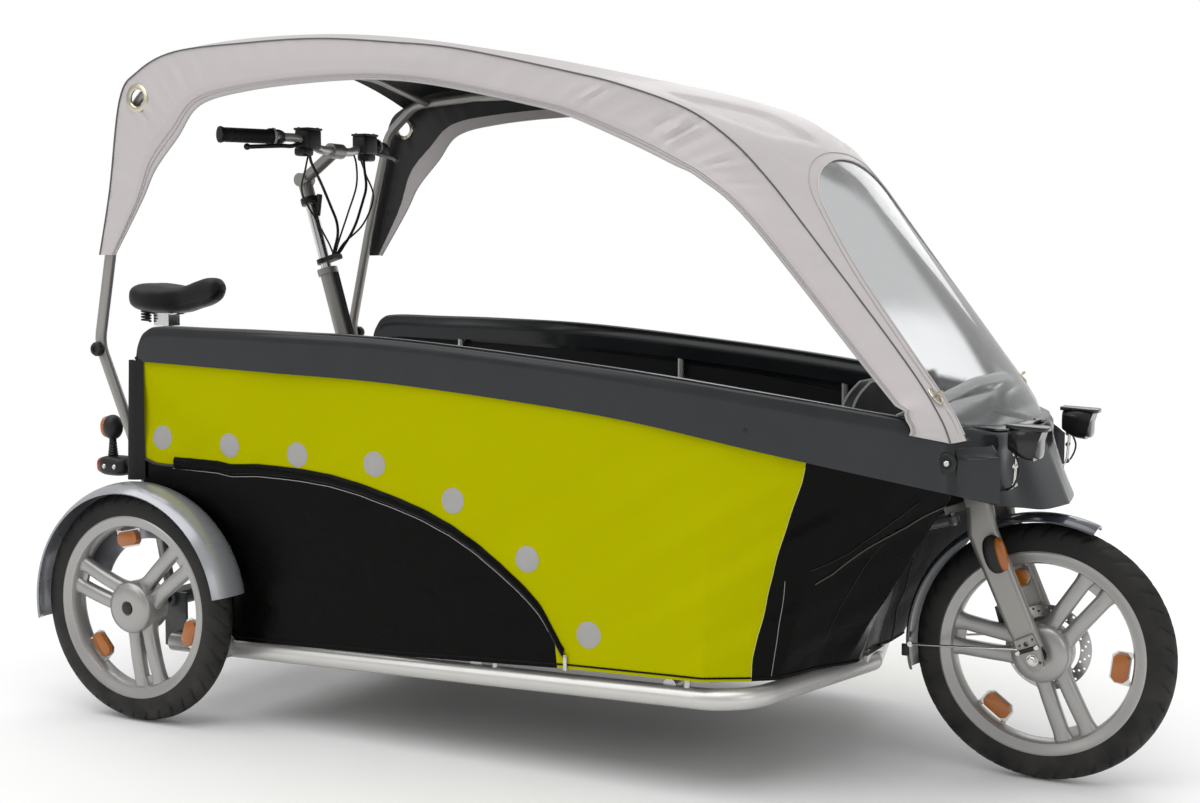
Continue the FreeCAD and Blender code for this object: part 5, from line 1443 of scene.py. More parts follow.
# Lines of painted highlight on the black front's folds, each as its tube's radius, its finish and its points
# in the columns of ZIP_LINE.
FOLD_HIGHLIGHT_LINES = [
    (1.5, HEM_AND_HIGHLIGHT_GREY, [(6.2, 0.56), (6.5, 0.51), (6.75, 0.44), (7.05, 0.36), (7.35, 0.28), (7.55, 0.22),
                      (7.75, 0.14), (8.05, 0.04)]),
    (0.9, LINING_AND_FOLD_HIGHLIGHT, [(6.0, 0.50), (6.35, 0.46), (6.7, 0.40), (6.9, 0.34), (7.1, 0.28), (7.35, 0.18),
                        (7.55, 0.08)]),
    (0.9, LINING_AND_FOLD_HIGHLIGHT, [(6.9, 0.84), (6.97, 0.66), (7.12, 0.46), (7.35, 0.30)]),
]
# Columns: share of the way down, row of the side's table: where the black front begins.
LIME_EDGE = [(0, 5.56), (0.125, 5.55), (0.3, 5.43), (0.517, 5.30), (0.758, 5.15), (0.908, 5.0), (1.0, 5.03)]
# Columns: from the front axle, half width: section of the strip round the canopy's tube at the rear edge.
BINDING = [(-1994, 490), (-2006, 498), (-2018, 505), (-2030, 507), (-2040, 499), (-2043, 486)]
# Columns: from the front axle, height: middles of the reflective dots, above the zip.
DOTS = [(-1947, 656), (-1746, 648), (-1556, 637), (-1349, 628), (-1149, 561), (-965, 451), (-817, 307)]
# Columns: from the front axle, height: middle line of the lining strip at the prow.
PROW_LINE = [(-372, 236), (-362, 282), (-345, 343), (-330, 410), (-312, 484)]
# Folds that the tension pulls into the cloth, as waves over a slanting measure in radians.
FOLDS = ((2.2, 2.1, 0.0), (1.4, 4.7, 1.1))


def zip_drop(place: float) -> float:
    """Share of the way down at which the zip runs, with its corners rounded.

    Args:
        place: row of the side's table.

    Returns:
        The share.
    """
    reach = 0.16 * unit((2.9 - place) / 0.4)
    ends = along_line(ZIP_LINE, max(0.0, place - reach)) + along_line(ZIP_LINE, place + reach)
    return (ends + 2 * along_line(ZIP_LINE, place)) / 4


@dataclass
class SideCloths:
    """Tensioned side cloths of the tub, with zipped lower panel, black front and reflective dots."""

    wall_mm: float = 2.0
    rows_over_zip: int = 26
    rows_under_zip: int = 12
    lime_columns: int = 130
    front_columns: int = 70
    zip_end: float = 3.0
    turn_row: float = 5.0
    sag_mm: float = 5.0
    crease_mm: float = 7.0
    fold_ridge_mm: float = 7.0
    dot_mm: float = 28.0

    def __post_init__(self) -> None:
        """Works out the corners that are tucked under the rim."""
        self.table = []
        for top_x, top_half, top_z, low_x, low_half, low_z in SIDE_ROWS:
            rim = rim_at(top_x)
            self.table.append((top_x, top_half or rim[1] - 5.5, top_z or rim[3] + 22, low_x, low_half, low_z))

    def point(self, place: float, drop: float, side: float, proud: float = 0.0) -> Vector:
        """Point on the outer face of a side.

        Args:
            place: row of the table.
            drop: 0 at the rim, 1 at the lower edge.
            side: -1 to the right, 1 to the left.
            proud: distance outwards in mm.

        Returns:
            The point, with the folds that the tension pulls in.
        """
        row = straight_at(self.table, place)
        x, y, z = Vector(row[:3]).lerp(Vector(row[3:]), drop)
        hold = math.sin(math.pi * min(1.0, drop)) ** 0.7
        front, rear = unit((x + 900) / 500), max(0.0, 1 - (x + 1983) / 350)
        fold = waves(FOLDS, x * 0.012 - z * 0.019) * (0.35 + 1.5 * front)
        fold += 3.0 * rear * math.sin((x * 0.6 + z) * 0.03)
        push = proud + hold * (fold + self.fan(place, x, z) + self.ridge(place, drop)) - self.sag_mm * hold
        ahead = side * ACROSS.xy
        if place > self.turn_row:
            ahead = Vector((min(1.0, (place - self.turn_row) / 3) * 0.75, side * 0.8)).normalized()
        return from_front(x + ahead.x * push, side * y + ahead.y * push, z)

    def fan(self, place: float, x: float, z: float) -> float:
        """Height in mm of the creases that fan out of the rim's front corner.

        Args:
            place: row of the table.
            x: place from the front axle in mm.
            z: height in mm.

        Returns:
            The height.
        """
        reach = unit((place - 5.1) / 0.9) * unit((8.4 - place) / 0.8)
        angle = math.atan2(640 - z, -60 - x)
        return self.crease_mm * reach * (0.5 - abs(math.sin(angle * 9.0 + 0.4)) ** 0.7)

    def ridge(self, place: float, drop: float) -> float:
        """Height in mm of the folds that rise under the front's first two lines of painted highlight.

        Args:
            place: row of the table.
            drop: share of the way down.

        Returns:
            The height.
        """
        height = 0.0
        for _radius, _finish, seam in FOLD_HIGHLIGHT_LINES[:2]:
            if seam[0][0] - 0.8 <= place <= seam[-1][0] + 0.3:
                away = (drop - along_line(seam, place)) / 0.04
                ends = min(1.0, (place - seam[0][0] + 0.8) / 0.8, (seam[-1][0] + 0.3 - place) / 0.3)
                height += self.fold_ridge_mm * ends * math.exp(-away * away)
        return height

    def warped(self, u: float, v: float, side: float) -> Vector:
        """Point of the sheet, whose rows follow the zip and whose columns follow the lime cloth's edge.

        Args:
            u: share along it, from 0 to 1.
            v: share across it, from 0 to 1.
            side: -1 to the right, 1 to the left.

        Returns:
            The point.
        """
        column = u * (self.lime_columns + self.front_columns)
        row = v * (self.rows_over_zip + self.rows_under_zip)
        drop = 0.9
        for _pass in range(4):
            rough = along_line(LIME_EDGE, drop) * min(column / self.lime_columns, 1.1)
            split = zip_drop(rough)
            if row <= self.rows_over_zip:
                drop = split * row / self.rows_over_zip
            else:
                drop = split + (1 - split) * (row - self.rows_over_zip) / self.rows_under_zip
        edge = along_line(LIME_EDGE, drop)
        if column <= self.lime_columns:
            place = edge * column / self.lime_columns
        else:
            place = edge + (SIDE_END - edge) * (column - self.lime_columns) / self.front_columns
        return self.point(place, drop, side)

    def build(self) -> None:
        """Builds both sides, the prow strip and the trim."""
        trims, sides = [], []
        for side in SIDES:
            cloth = curved_sheet("side_cloth", self.lime_columns + self.front_columns,
                                 self.rows_over_zip + self.rows_under_zip,
                                 lambda u, v, side=side: self.warped(u, v, side))
            self.colour_panels(face_towards(cloth, 400, side * ACROSS))
            sides.append(apply_modifier(cloth, "SOLIDIFY", thickness=self.wall_mm * MM, offset=-1.0,
                                        material_offset=2))
            trims += self.trim(side)
        cloth = dress(joined("side_cloths_sewn", sides), None, "chassis", ["side_cloths"])
        trim = dress(joined("side_trim", trims), None, "chassis")
        self.prow_strip()

    def colour_panels(self, cloth: Piece) -> None:
        """Gives each panel its cloth: lime over the zip, black under it and in front.

        Args:
            cloth: the sheet of one side.
        """
        for finish in (LIME_CLOTH, BLACK_CLOTH, LINING_AND_FOLD_HIGHLIGHT, LINING_AND_FOLD_HIGHLIGHT):
            cloth.data.materials.append(finish.material())
        columns = self.lime_columns + self.front_columns
        for face in cloth.data.polygons:
            column, row = face.index % columns, face.index // columns
            in_front = column >= self.lime_columns
            zipped = row >= self.rows_over_zip and column < self.lime_columns * self.zip_end / 5.2
            face.material_index = 1 if in_front or zipped else 0

    def trim(self, side: float) -> list[Piece]:
        """Zip, piping, stitching, hem and dots of one side, and thin lighter tubes along the front's folds as
        painted highlight.

        Args:
            side: -1 to the right, 1 to the left.

        Returns:
            The painted parts.
        """
        zip_line = [self.point(place, zip_drop(place), side, 2.0)
                    for place in (2.93 * step / 90 for step in range(91))]
        piping = [self.point(along_line(LIME_EDGE, drop), drop, side, 0.6)
                  for drop in (step / 30 for step in range(2, 31))]
        hem = [self.point(SIDE_END * step / 160, 0.985, side, 0.3) for step in range(161)]
        stitch = [self.point(5.56 + 0.12 * step / 20, 0.56 + 0.43 * step / 20, side, 0.8)
                  for step in range(21)]
        zip_stitch = [self.point(place, zip_drop(place) + 0.014, side, 1.2)
                      for place in (0.34 + 2.51 * step / 90 for step in range(91))]
        sewn = [("zip", zip_line, 3.6, 8, ZIP_TEETH), ("panel_piping", piping, 1.1, 8, PALE_PIPING),
                ("cloth_hem", hem, 2.2, 6, BLACK_CLOTH), ("front_stitch", stitch, 0.6, 6, GREY_DOT),
                ("zip_stitch", zip_stitch, 0.8, 6, THREAD)]
        # Thin tubes lighter than the black cloth along the front's folds: painted highlight on the fold
        # ridges.
        for radius, finish, seam in FOLD_HIGHLIGHT_LINES:
            line = [self.point(*Vector(near).lerp(Vector(far), step / 8), side, 0.8)
                    for near, far in zip(seam, seam[1:]) for step in range(8)]
            sewn.append(("front_fold_highlight", line, radius, 6, finish))
        front_hem = [self.point(9.8, 0.03 + 0.94 * step / 40, side, 0.6) for step in range(41)]
        sewn.append(("front_hem", front_hem, 1.8, 6, HEM_AND_HIGHLIGHT_GREY))
        parts = [paint(tube(name, line, radius, sides=sides), finish)
                 for name, line, radius, sides, finish in sewn]
        flap = curved_sheet("zip_flap", 120, 4, lambda u, v: self.flap(u, v, side))
        parts.append(paint(thicken(face_towards(flap, 200, side * ACROSS), 1.2), BLACK_CLOTH))
        parts.append(paint(self.binding(side), LINING_AND_FOLD_HIGHLIGHT))
        pull = self.point(2.95, 0.955, side, 6.0) - Vector((0, 0, 0.012))
        parts.append(paint(soft_box("zip_pull", pull, (9, 4, 34), 2, 2), BRIGHT_STEEL))
        return parts + [self.dot(x, z, side) for x, z in DOTS]

    def flap(self, u: float, v: float, side: float) -> Vector:
        """Point of the black flap that lies over the zip.

        Args:
            u: share along it, from 0 to 1.
            v: share across it, from 0 to 1.
            side: -1 to the right, 1 to the left.

        Returns:
            The point.
        """
        place = 0.36 + 2.58 * u
        drop = zip_drop(place)
        depth = 26 / (304 + 324 * min(place, 1.0))
        return self.point(place, drop + depth * (v - 0.75), side, 6.5 - 4.5 * abs(2 * v - 1) ** 3)

    def binding(self, side: float) -> Piece:
        """Stiff dark strip down the rear edge, turned in round the canopy's tube.

        Args:
            side: -1 to the right, 1 to the left.

        Returns:
            The strip.
        """
        def place(u: float, v: float) -> Vector:
            """Point on the strip."""
            row = row_at(BINDING, u * (len(BINDING) - 1))
            return from_front(row[0] + 14 * (1 - v) * u, side * row[1], 836 - 282 * v)
        strip = curved_sheet("rear_binding", 14, 12, place)
        return thicken(face_towards(strip, 60, side * ACROSS), 2.2)

    def dot(self, x_mm: float, z_mm: float, side: float) -> Piece:
        """Round reflective patch, sewn on.

        Args:
            x_mm: its middle from the front axle.
            z_mm: its middle's height.
            side: -1 to the right, 1 to the left.

        Returns:
            The patch.
        """
        def lay(u: float, v: float) -> Vector:
            """Point on the patch.

            Args:
                u: share of the way out.
                v: share of the way round.

            Returns:
                The point.
            """
            radius = self.dot_mm * u
            place, drop = self.find(x_mm + radius * math.cos(v * math.tau),
                                    z_mm + radius * math.sin(v * math.tau))
            return self.point(place, drop, side, 1.5 if u < 0.99 else 0.2)
        patch = face_outwards(curved_sheet("dot", 4, 28, lay), 4e-5)
        return paint(face_towards(patch, 0, side * ACROSS), GREY_DOT)

    def find(self, x_mm: float, z_mm: float) -> tuple[float, float]:
        """Row and drop of a point on the upright part of a side.

        Args:
            x_mm: its place from the front axle.
            z_mm: its height.

        Returns:
            The row and the share of the way down.
        """
        places = [row[0] for row in self.table[:6]]
        index = max(number for number, x in enumerate(places[:5]) if x <= x_mm or number == 0)
        place = index + (x_mm - places[index]) / (places[index + 1] - places[index])
        row = straight_at(self.table, place)
        return place, (row[2] - z_mm) / (row[2] - row[5])

    def prow_strip(self) -> None:
        """Lining strip between the two sides at the prow, open for the steering rod."""
        def place(u: float, v: float) -> Vector:
            """Point on the strip."""
            row = row_at(PROW_LINE, u * (len(PROW_LINE) - 1))
            return from_front(row[0] + 3 * math.sin(u * 9) * math.sin(math.pi * v), (2 * v - 1) * 43, row[1])
        strip = thicken(curved_sheet("prow_strip", 40, 14, place), self.wall_mm)
        dress(strip, BLACK_CLOTH, "chassis", ["front_cloth"])


# Finishes of the frame's pieces whose shape stays as it is.
FRAME_FINISHES = {
    "battery_box": BATTERY, "benches": BENCH_BOARD, "canopy_frame": FORK_SILVER, "chain_case": BLACK_PLASTIC,
    "column_cables": CABLE, "crankset": ALLOY, "cross_tubes": FRAME_SILVER, "floor_panel": FLOOR_BOARD,
    "fork": FORK_SILVER, "front_brake_caliper": CALIPER, "front_fender_stays": BRIGHT_STEEL,
    "handlebar": FRAME_SILVER, "handlebar_cables": CABLE, "head_frame": FRAME_SILVER,
    "lower_side_tubes": FRAME_SILVER, "motor": CALIPER, "nose_hoop": FRAME_SILVER, "pedal_left": RUBBER,
    "pedal_right": RUBBER, "rear_axle_beam": FRAME_DARK, "rear_board": FLOOR_BOARD,
    "rear_fenders": FENDER_SILVER, "rear_frame": FRAME_DARK, "rim_posts": FRAME_SILVER, "seat_post": POLISHED,
    "steering_column": FORK_SILVER, "steering_rod": FRAME_DARK, "steering_rod_cover": FRAME_DARK,
    "steering_shaft": POLISHED, "stem": FORK_SILVER,
}


class FrameFinishes:
    """Paints the pieces of the frame that no new piece stands for."""

    def build(self) -> None:
        """Paints every node in the table."""
        for name, finish in FRAME_FINISHES.items():
            piece = frame["nodes"][name]
            if not piece.data.materials:
                piece.data.materials.append(None)
            for index in range(len(piece.data.materials)):
                piece.data.materials[index] = finish.material()
            log.info("%s: keeps its shape, finish %s", name, finish.name)


def rounded(angle: float, power: float) -> tuple[float, float]:
    """Point on a rounded square of half width 1, squarer for a smaller power."""
    turn = (math.cos(angle), math.sin(angle))
    return tuple(math.copysign(abs(part) ** power, part) for part in turn)


def pebble(name: str, centre: Vector, half_mm: Sequence[float], power: float = 0.6,
           turn: Matrix | None = None, steps: int = 20) -> Piece:
    """Closed form between a ball and a block.

    Args:
        name: the piece's name.
        centre: its middle.
        half_mm: half its length, width and height.
        power: 1 for a ball, towards 0 for a block.
        turn: turns it about its centre.
        steps: faces from pole to pole.

    Returns:
        The form.
    """
    def place(u: float, v: float) -> Vector:
        """Point on the form.

        Args:
            u: share from pole to pole.
            v: share of the way round.

        Returns:
            The point.
        """
        ring, rise = rounded(math.pi * (u - 0.5), power)
        x, y = rounded(v * math.tau, power)
        point = Vector((ring * x * half_mm[0], ring * y * half_mm[1], rise * half_mm[2])) * MM
        return centre + (turn @ point if turn else point)
    return face_outwards(curved_sheet(name, steps, 2 * steps, place), 2e-5)


# Profiles of the wheel: radius and distance along the axle.
WHEEL_RIM = [(214, -28), (214, -23), (204, -18), (203, 0), (204, 18), (214, 23), (214, 28), (210, 30),
             (203, 28.5), (195, 24), (190, 23), (188, 19), (185, 12), (184, 0), (185, -12), (188, -19),
             (190, -23), (195, -24), (203, -28.5), (210, -30), (214, -28)]
WHEEL_HUB = [(0, 38), (15, 38), (17, 41), (28, 42), (44, 40), (56, 36), (60, 30), (60, -30), (56, -36),
             (44, -40), (28, -43), (15, -43), (12, -30), (0, -30)]
HUB_CAP = [(0, 42.5), (9, 42.5), (13, 41.5), (14.5, 38.5), (14.5, 34), (0, 34)]
TYRE_HALF = [(203, 21), (209, 27), (222, 30.5), (236, 31), (250, 28), (259, 21.5), (265.2, 12), (268.4, 0)]
REFLECTOR_RIVET = [(0, -3), (3.2, -3), (3.2, 1), (2, 2.4), (0, 2.8)]
# Outlines: shift along the rim and out from the middle of the lens.
LENS_OUTLINE = [(-30, -8), (-21, -17), (21, -17), (30, -8), (30, 8), (21, 17), (-21, 17), (-30, 8)]
BRACKET_OUTLINE = [(-34, -10), (-24, -21), (24, -21), (34, -10), (36, 26), (30, 27), (22, 19), (-22, 19),
                   (-30, 27), (-36, 26)]
# Outline of the web between two bars: radius and shift along the rim.
WEB_OUTLINE = [(164, -17), (168, -19), (187, -19), (187, 19), (168, 19), (164, 17)]


@dataclass
class CastWheel:
    """Cast three-spoke wheel with its tyre and reflectors."""

    wheel_node: str
    tyre_node: str
    reflector_node: str
    body: str
    spoke_degrees: float
    outward: float
    half_tyre: float = 31.0
    grooves: int = 40
    groove_mm: float = 3.2
    groove_share: float = 0.13
    tread_radius: float = 244.0
    wall_radius: float = 236.0
    middle_share: float = 0.12
    lens_radius: float = 158.0

    def build(self) -> None:
        """Builds the wheel, the tyre and the reflectors."""
        low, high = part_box(self.tyre_node)
        self.centre = (Vector(low) + Vector(high)) / 2
        self.wheel()
        self.tyre()
        self.reflectors()

    def spot(self, degrees: float, radius: float, tangent: float = 0.0, side: float = 0.0) -> Vector:
        """Point on the wheel.

        Args:
            degrees: angle above forward.
            radius: distance from the axle in mm.
            tangent: shift along the rim in mm.
            side: shift outward in mm.

        Returns:
            The point.
        """
        turn = math.radians(degrees)
        ahead = Vector((math.cos(turn), 0, math.sin(turn)))
        along = Vector((-math.sin(turn), 0, math.cos(turn)))
        return self.centre + (ahead * radius + along * tangent + ACROSS * side * self.outward) * MM

    def wheel(self) -> None:
        """Rim, hub and three pairs of bowed spokes with a bridge near the rim."""
        axle = ACROSS * self.outward
        parts = [turned("rim", WHEEL_RIM, self.centre, axle, 96),
                 turned("hub", WHEEL_HUB, self.centre, axle, 64)]
        cap = paint(turned("hub_cap", HUB_CAP, self.centre, axle, 32), BLACK_PLASTIC)
        for pair in range(3):
            angle = self.spoke_degrees + 120 * pair
            parts += [closed_skin("spoke", 22, 24, lambda u, v, angle=angle, side=side:
                                  self.spoke_point(angle, side, u, v)) for side in SIDES]
            parts.append(self.bridge(angle))
        dress(joined(self.wheel_node + "_cast", painted(WHEEL_SILVER, *parts) + [cap]), None, self.body,
              [self.wheel_node], crease=38)

    def spoke_point(self, angle: float, side: float, u: float, v: float) -> Vector:
        """Point on one bar of a pair.

        Args:
            angle: the pair's angle in degrees.
            side: which bar: -1 or 1.
            u: share of the way out.
            v: share of the way round.

        Returns:
            The point.
        """
        radius = 44 + 144 * u
        flare = 5.0 * max(0.0, (0.22 - u) / 0.22) ** 2 + 6.0 * max(0.0, (u - 0.8) / 0.2) ** 2
        middle = side * (28 - 7.8 * (1 - u))
        across, deep = rounded(v * math.tau, 0.72)
        return self.spot(angle, radius, middle + across * (17.0 + flare),
                         deep * (15.5 - 2.5 * u + flare * 0.5) + 4.0 * math.sin(math.pi * u))

    def bridge(self, angle: float) -> Piece:
        """Thin web between a pair's bars near the rim."""
        outline = [self.spot(angle, radius, tangent, -3) for radius, tangent in WEB_OUTLINE]
        return round_edges(plate("web", outline, ACROSS * self.outward * 0.009), 1.2)

    def tyre(self) -> None:
        """Tyre with shoulder grooves that sweep back from the middle of the tread."""
        whole = TYRE_HALF + [(radius, -side) for radius, side in TYRE_HALF[-2::-1]]
        route = smooth_route([Vector((radius, side, 0)) for radius, side in whole], 2)

        def place(u: float, v: float) -> Vector:
            """Point on the tyre.

            Args:
                u: share of the way round the wheel.
                v: share across the tread.

            Returns:
                The point.
            """
            radius, side, _zero = straight_at(route, v * (len(route) - 1))
            lateral = abs(side) / self.half_tyre
            wave = u * self.grooves + 0.75 * lateral ** 1.5 + (0.5 if side > 0 else 0.0)
            grooved = (radius > self.tread_radius and wave % 1.0 < self.groove_share
                       and lateral > self.middle_share)
            shrink = (self.groove_mm if grooved else 0.0) * unit((radius - self.wall_radius) / 10)
            return self.spot(-360 * u, radius - shrink, 0, side * (1 - 0.02 * shrink))
        tyre = thicken(face_outwards(curved_sheet("tyre", 640, len(route) - 1, place), 1e-5), 3)
        dress(tyre, TYRE_RUBBER, self.body, [self.tyre_node], crease=50)
        tyre.name = self.tyre_node + "_tread"

    def reflectors(self) -> None:
        """Three amber reflectors on pressed brackets, riveted to the rim."""
        parts = []
        axle = ACROSS * self.outward
        for index in range(3):
            angle = self.spoke_degrees + 60 + 120 * index
            lens, back = ([self.spot(angle, self.lens_radius + out, along, side) for along, out in outline]
                          for outline, side in ((LENS_OUTLINE, -5), (BRACKET_OUTLINE, -6.5)))
            parts.append(paint(round_edges(plate("lens", lens, axle * 0.010), 1.5), AMBER))
            rivets = [turned("rivet", REFLECTOR_RIVET, self.spot(angle, 181, tangent, -4), axle, 10)
                      for tangent in (-31, 31)]
            parts += painted(BRIGHT_STEEL, plate("bracket", back, axle * 0.0015), *rivets)
        dress(joined(self.reflector_node + "_set", parts), None, self.body,
              [self.reflector_node])


# Foot plate: its outline's lead and height in the fork's frame, and each hole's radius, lead and height.
FOOT_OUTLINE = [(-2, 44), (40, 52), (48, 18), (44, -14), (34, -24), (22, -26), (12, -16), (4, 4)]
FOOT_HOLES = [(5, 22, 34), (2.2, 8, 33), (2.2, 37, 41), (3.0, 40, -8)]
# Profiles: radius and distance along the axis.
AXLE_WASHER = [(0, 0), (12, 0), (12, 2.2), (0, 2.2)]
AXLE_NUT = [(0, 2), (10, 2), (10, 10), (8, 11.5), (6, 11.5), (6, 15), (0, 15)]
CLAMP_SCREW = [(0, -3), (5.4, -3), (5.4, 3), (4, 4.6), (0, 4.6)]
DISC_RING = [(66, -1.2), (90, -1.2), (90, 1.2), (66, 1.2), (66, -1.2)]
DISC_BOSS = [(20, -1.5), (30, -1.5), (30, 1.5), (20, 1.5), (20, -1.5)]
DISC_HOLE = [(0, -6), (2.7, -6), (2.7, 6), (0, 6)]


@dataclass
class FrontEnd:
    """Fork fittings, disc, indicators and front fender, in the fork's leaning frame."""

    lean_degrees: float = 17.0
    base_mm: tuple[float, float] = (-24.86, 260.8)
    axle_mm: float = 268.4
    foot_half: float = 89.0
    disc_holes: int = 54
    hole_radii: tuple[float, float, float] = (70.5, 77.5, 84.5)
    fender_radius: float = 291.0
    fender_half: float = 42.0

    def fork_spot(self, lead: float, y: float, height: float) -> Vector:
        """Point in the fork's leaning frame.

        Args:
            lead: distance ahead of the steering axis in mm.
            y: distance to the left in mm.
            height: distance up the axis in mm.

        Returns:
            The point.
        """
        lean = math.radians(self.lean_degrees)
        x = self.base_mm[0] + lead * math.cos(lean) - height * math.sin(lean)
        z = self.base_mm[1] + lead * math.sin(lean) + height * math.cos(lean)
        return from_front(x, y, z)

    def build(self) -> None:
        """Builds every piece round the fork."""
        self.dropouts()
        self.disc()
        self.indicators()
        self.fender()

    def dropouts(self) -> None:
        """Foot plates with their holes, axle nuts, washers and the stay's clamp bar."""
        parts = []
        for side in SIDES:
            y = side * self.foot_half
            out = side * ACROSS
            outline = [self.fork_spot(lead, y, height) for lead, height in FOOT_OUTLINE]
            foot = plate("foot_plate", outline, out * 0.004)
            cutters = [turned("hole", [(0, -12), (radius, -12), (radius, 12), (0, 12)],
                              self.fork_spot(lead, y, height), out, 16)
                       for radius, lead, height in FOOT_HOLES]
            carve(foot, joined("holes", cutters))
            axle = from_front(0, side * 93, self.axle_mm)
            ends = [self.fork_spot(2, y + side * 6, 20), self.fork_spot(42, y + side * 6, 24)]
            parts.append(paint(round_edges(foot, 0.8), FORK_SILVER))
            parts += painted(BRIGHT_STEEL, turned("washer", AXLE_WASHER, axle, out, 28),
                             turned("nut", AXLE_NUT, axle, out, 6))
            parts.append(paint(tube("clamp_bar", ends, 4.5), BLACK_PLASTIC))
            parts += painted(BRIGHT_STEEL, *[turned("screw", CLAMP_SCREW, spot + out * 0.003, out, 14)
                                             for spot in ends])
        dress(joined("fork_fittings", parts), None, "fork")

    def disc(self) -> None:
        """Brake disc with rows of drilled holes and a cut-out carrier."""
        low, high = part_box("front_brake_disc")
        centre = (Vector(low) + Vector(high)) / 2

        def ray(turn: float) -> Vector:
            """Direction in the disc's plane at an angle in radians."""
            return Vector((math.cos(turn), 0, math.sin(turn)))
        ring = turned("disc", DISC_RING, centre, ACROSS, 72)
        holes = [turned("hole", DISC_HOLE, centre + ray(math.tau * index / self.disc_holes)
                        * self.hole_radii[index % 3] * MM, ACROSS, 8) for index in range(self.disc_holes)]
        carve(ring, joined("disc_holes", holes))
        arms = [tube("arm", [centre + ray(turn) * 0.026, centre + ray(turn + 0.35) * 0.068], 2.4, sides=8)
                for turn in (math.tau * arm / 6 for arm in range(6))]
        boss = turned("boss", DISC_BOSS, centre, ACROSS, 40)
        dress(joined("brake_disc_drilled", [ring, boss] + arms), DISC_STEEL, "front_wheel",
              ["front_brake_disc"])

    def indicators(self) -> None:
        """Black bowls outside the legs with an amber lens in front of each."""
        parts = []
        lean = Matrix.Rotation(math.radians(-self.lean_degrees), 3, "Y")
        for side in SIDES:
            bowl = pebble("bowl", self.fork_spot(12, side * 102, 226), (23, 13, 40), 0.85, lean)
            lens = pebble("lens", self.fork_spot(27, side * 106, 224), (12, 11, 35), 0.85, lean)
            arm = tube("arm", [self.fork_spot(-2, side * 78, 250), self.fork_spot(8, side * 98, 246)], 7)
            parts += [paint(bowl, BLACK_PLASTIC), paint(lens, AMBER), paint(arm, BLACK_PLASTIC)]
        dress(joined("front_indicator_pair", parts), None, "fork", ["front_indicators"])

    def fender(self) -> None:
        """Front fender: one crowned shell with a rolled edge, and its stay clips."""
        def place(u: float, v: float) -> Vector:
            """Point on the shell.

            Args:
                u: share along it, from 0 to 1.
                v: share across it, from 0 to 1.

            Returns:
                The point.
            """
            angle = math.radians(68 + 125 * u)
            share = 2 * v - 1
            end = min(1.0, min(u, 1 - u) * 40)
            half = self.fender_half * (1 - 0.10 * (1 - end))
            radius = self.fender_radius - 14 * abs(share) ** 2.4
            return from_front(radius * math.cos(angle), share * half, self.axle_mm + radius * math.sin(angle))
        shell = thicken(face_towards(curved_sheet("fender", 80, 18, place), 700, UP), 2.6)
        edges = [tube("rolled_edge", [place(step / 60, share) for step in range(61)], 2.0, sides=8)
                 for share in (0.015, 0.985)]
        angle = math.radians(184)
        x, z = 283 * math.cos(angle), self.axle_mm + 283 * math.sin(angle)
        clips = [soft_box("clip", from_front(x, side * 43, z), (16, 7, 26), 2.5, 2) for side in SIDES]
        parts = painted(SLATE_GLOSS, shell, *edges) + painted(BLACK_PLASTIC, *clips)
        dress(joined("front_fender_shell", parts), None, "fork", ["front_fender"])


# Head lamps, in metres from the middle of each: the visor's outline, and routes whose side step is mirrored.
VISOR = [(-0.034, -0.020), (0.040, -0.030), (0.046, -0.018), (0.046, 0.018), (0.040, 0.030), (-0.034, 0.020)]
LAMP_STRIP = [(-0.016, 0, -0.016), (-0.018, 0, -0.050), (-0.022, -0.002, -0.088), (-0.036, -0.008, -0.100)]
LAMP_WIRE = [(-0.020, 0.01, -0.018), (-0.006, 0.016, -0.052), (-0.018, 0.012, -0.086),
             (-0.040, -0.006, -0.098)]
LAMP_BOLT = [(0, -6), (5, -6), (5, 5), (3.5, 7), (0, 7)]
TAIL_BOLT = [(0, -4), (6, -4), (6, 2), (4, 4), (0, 4)]


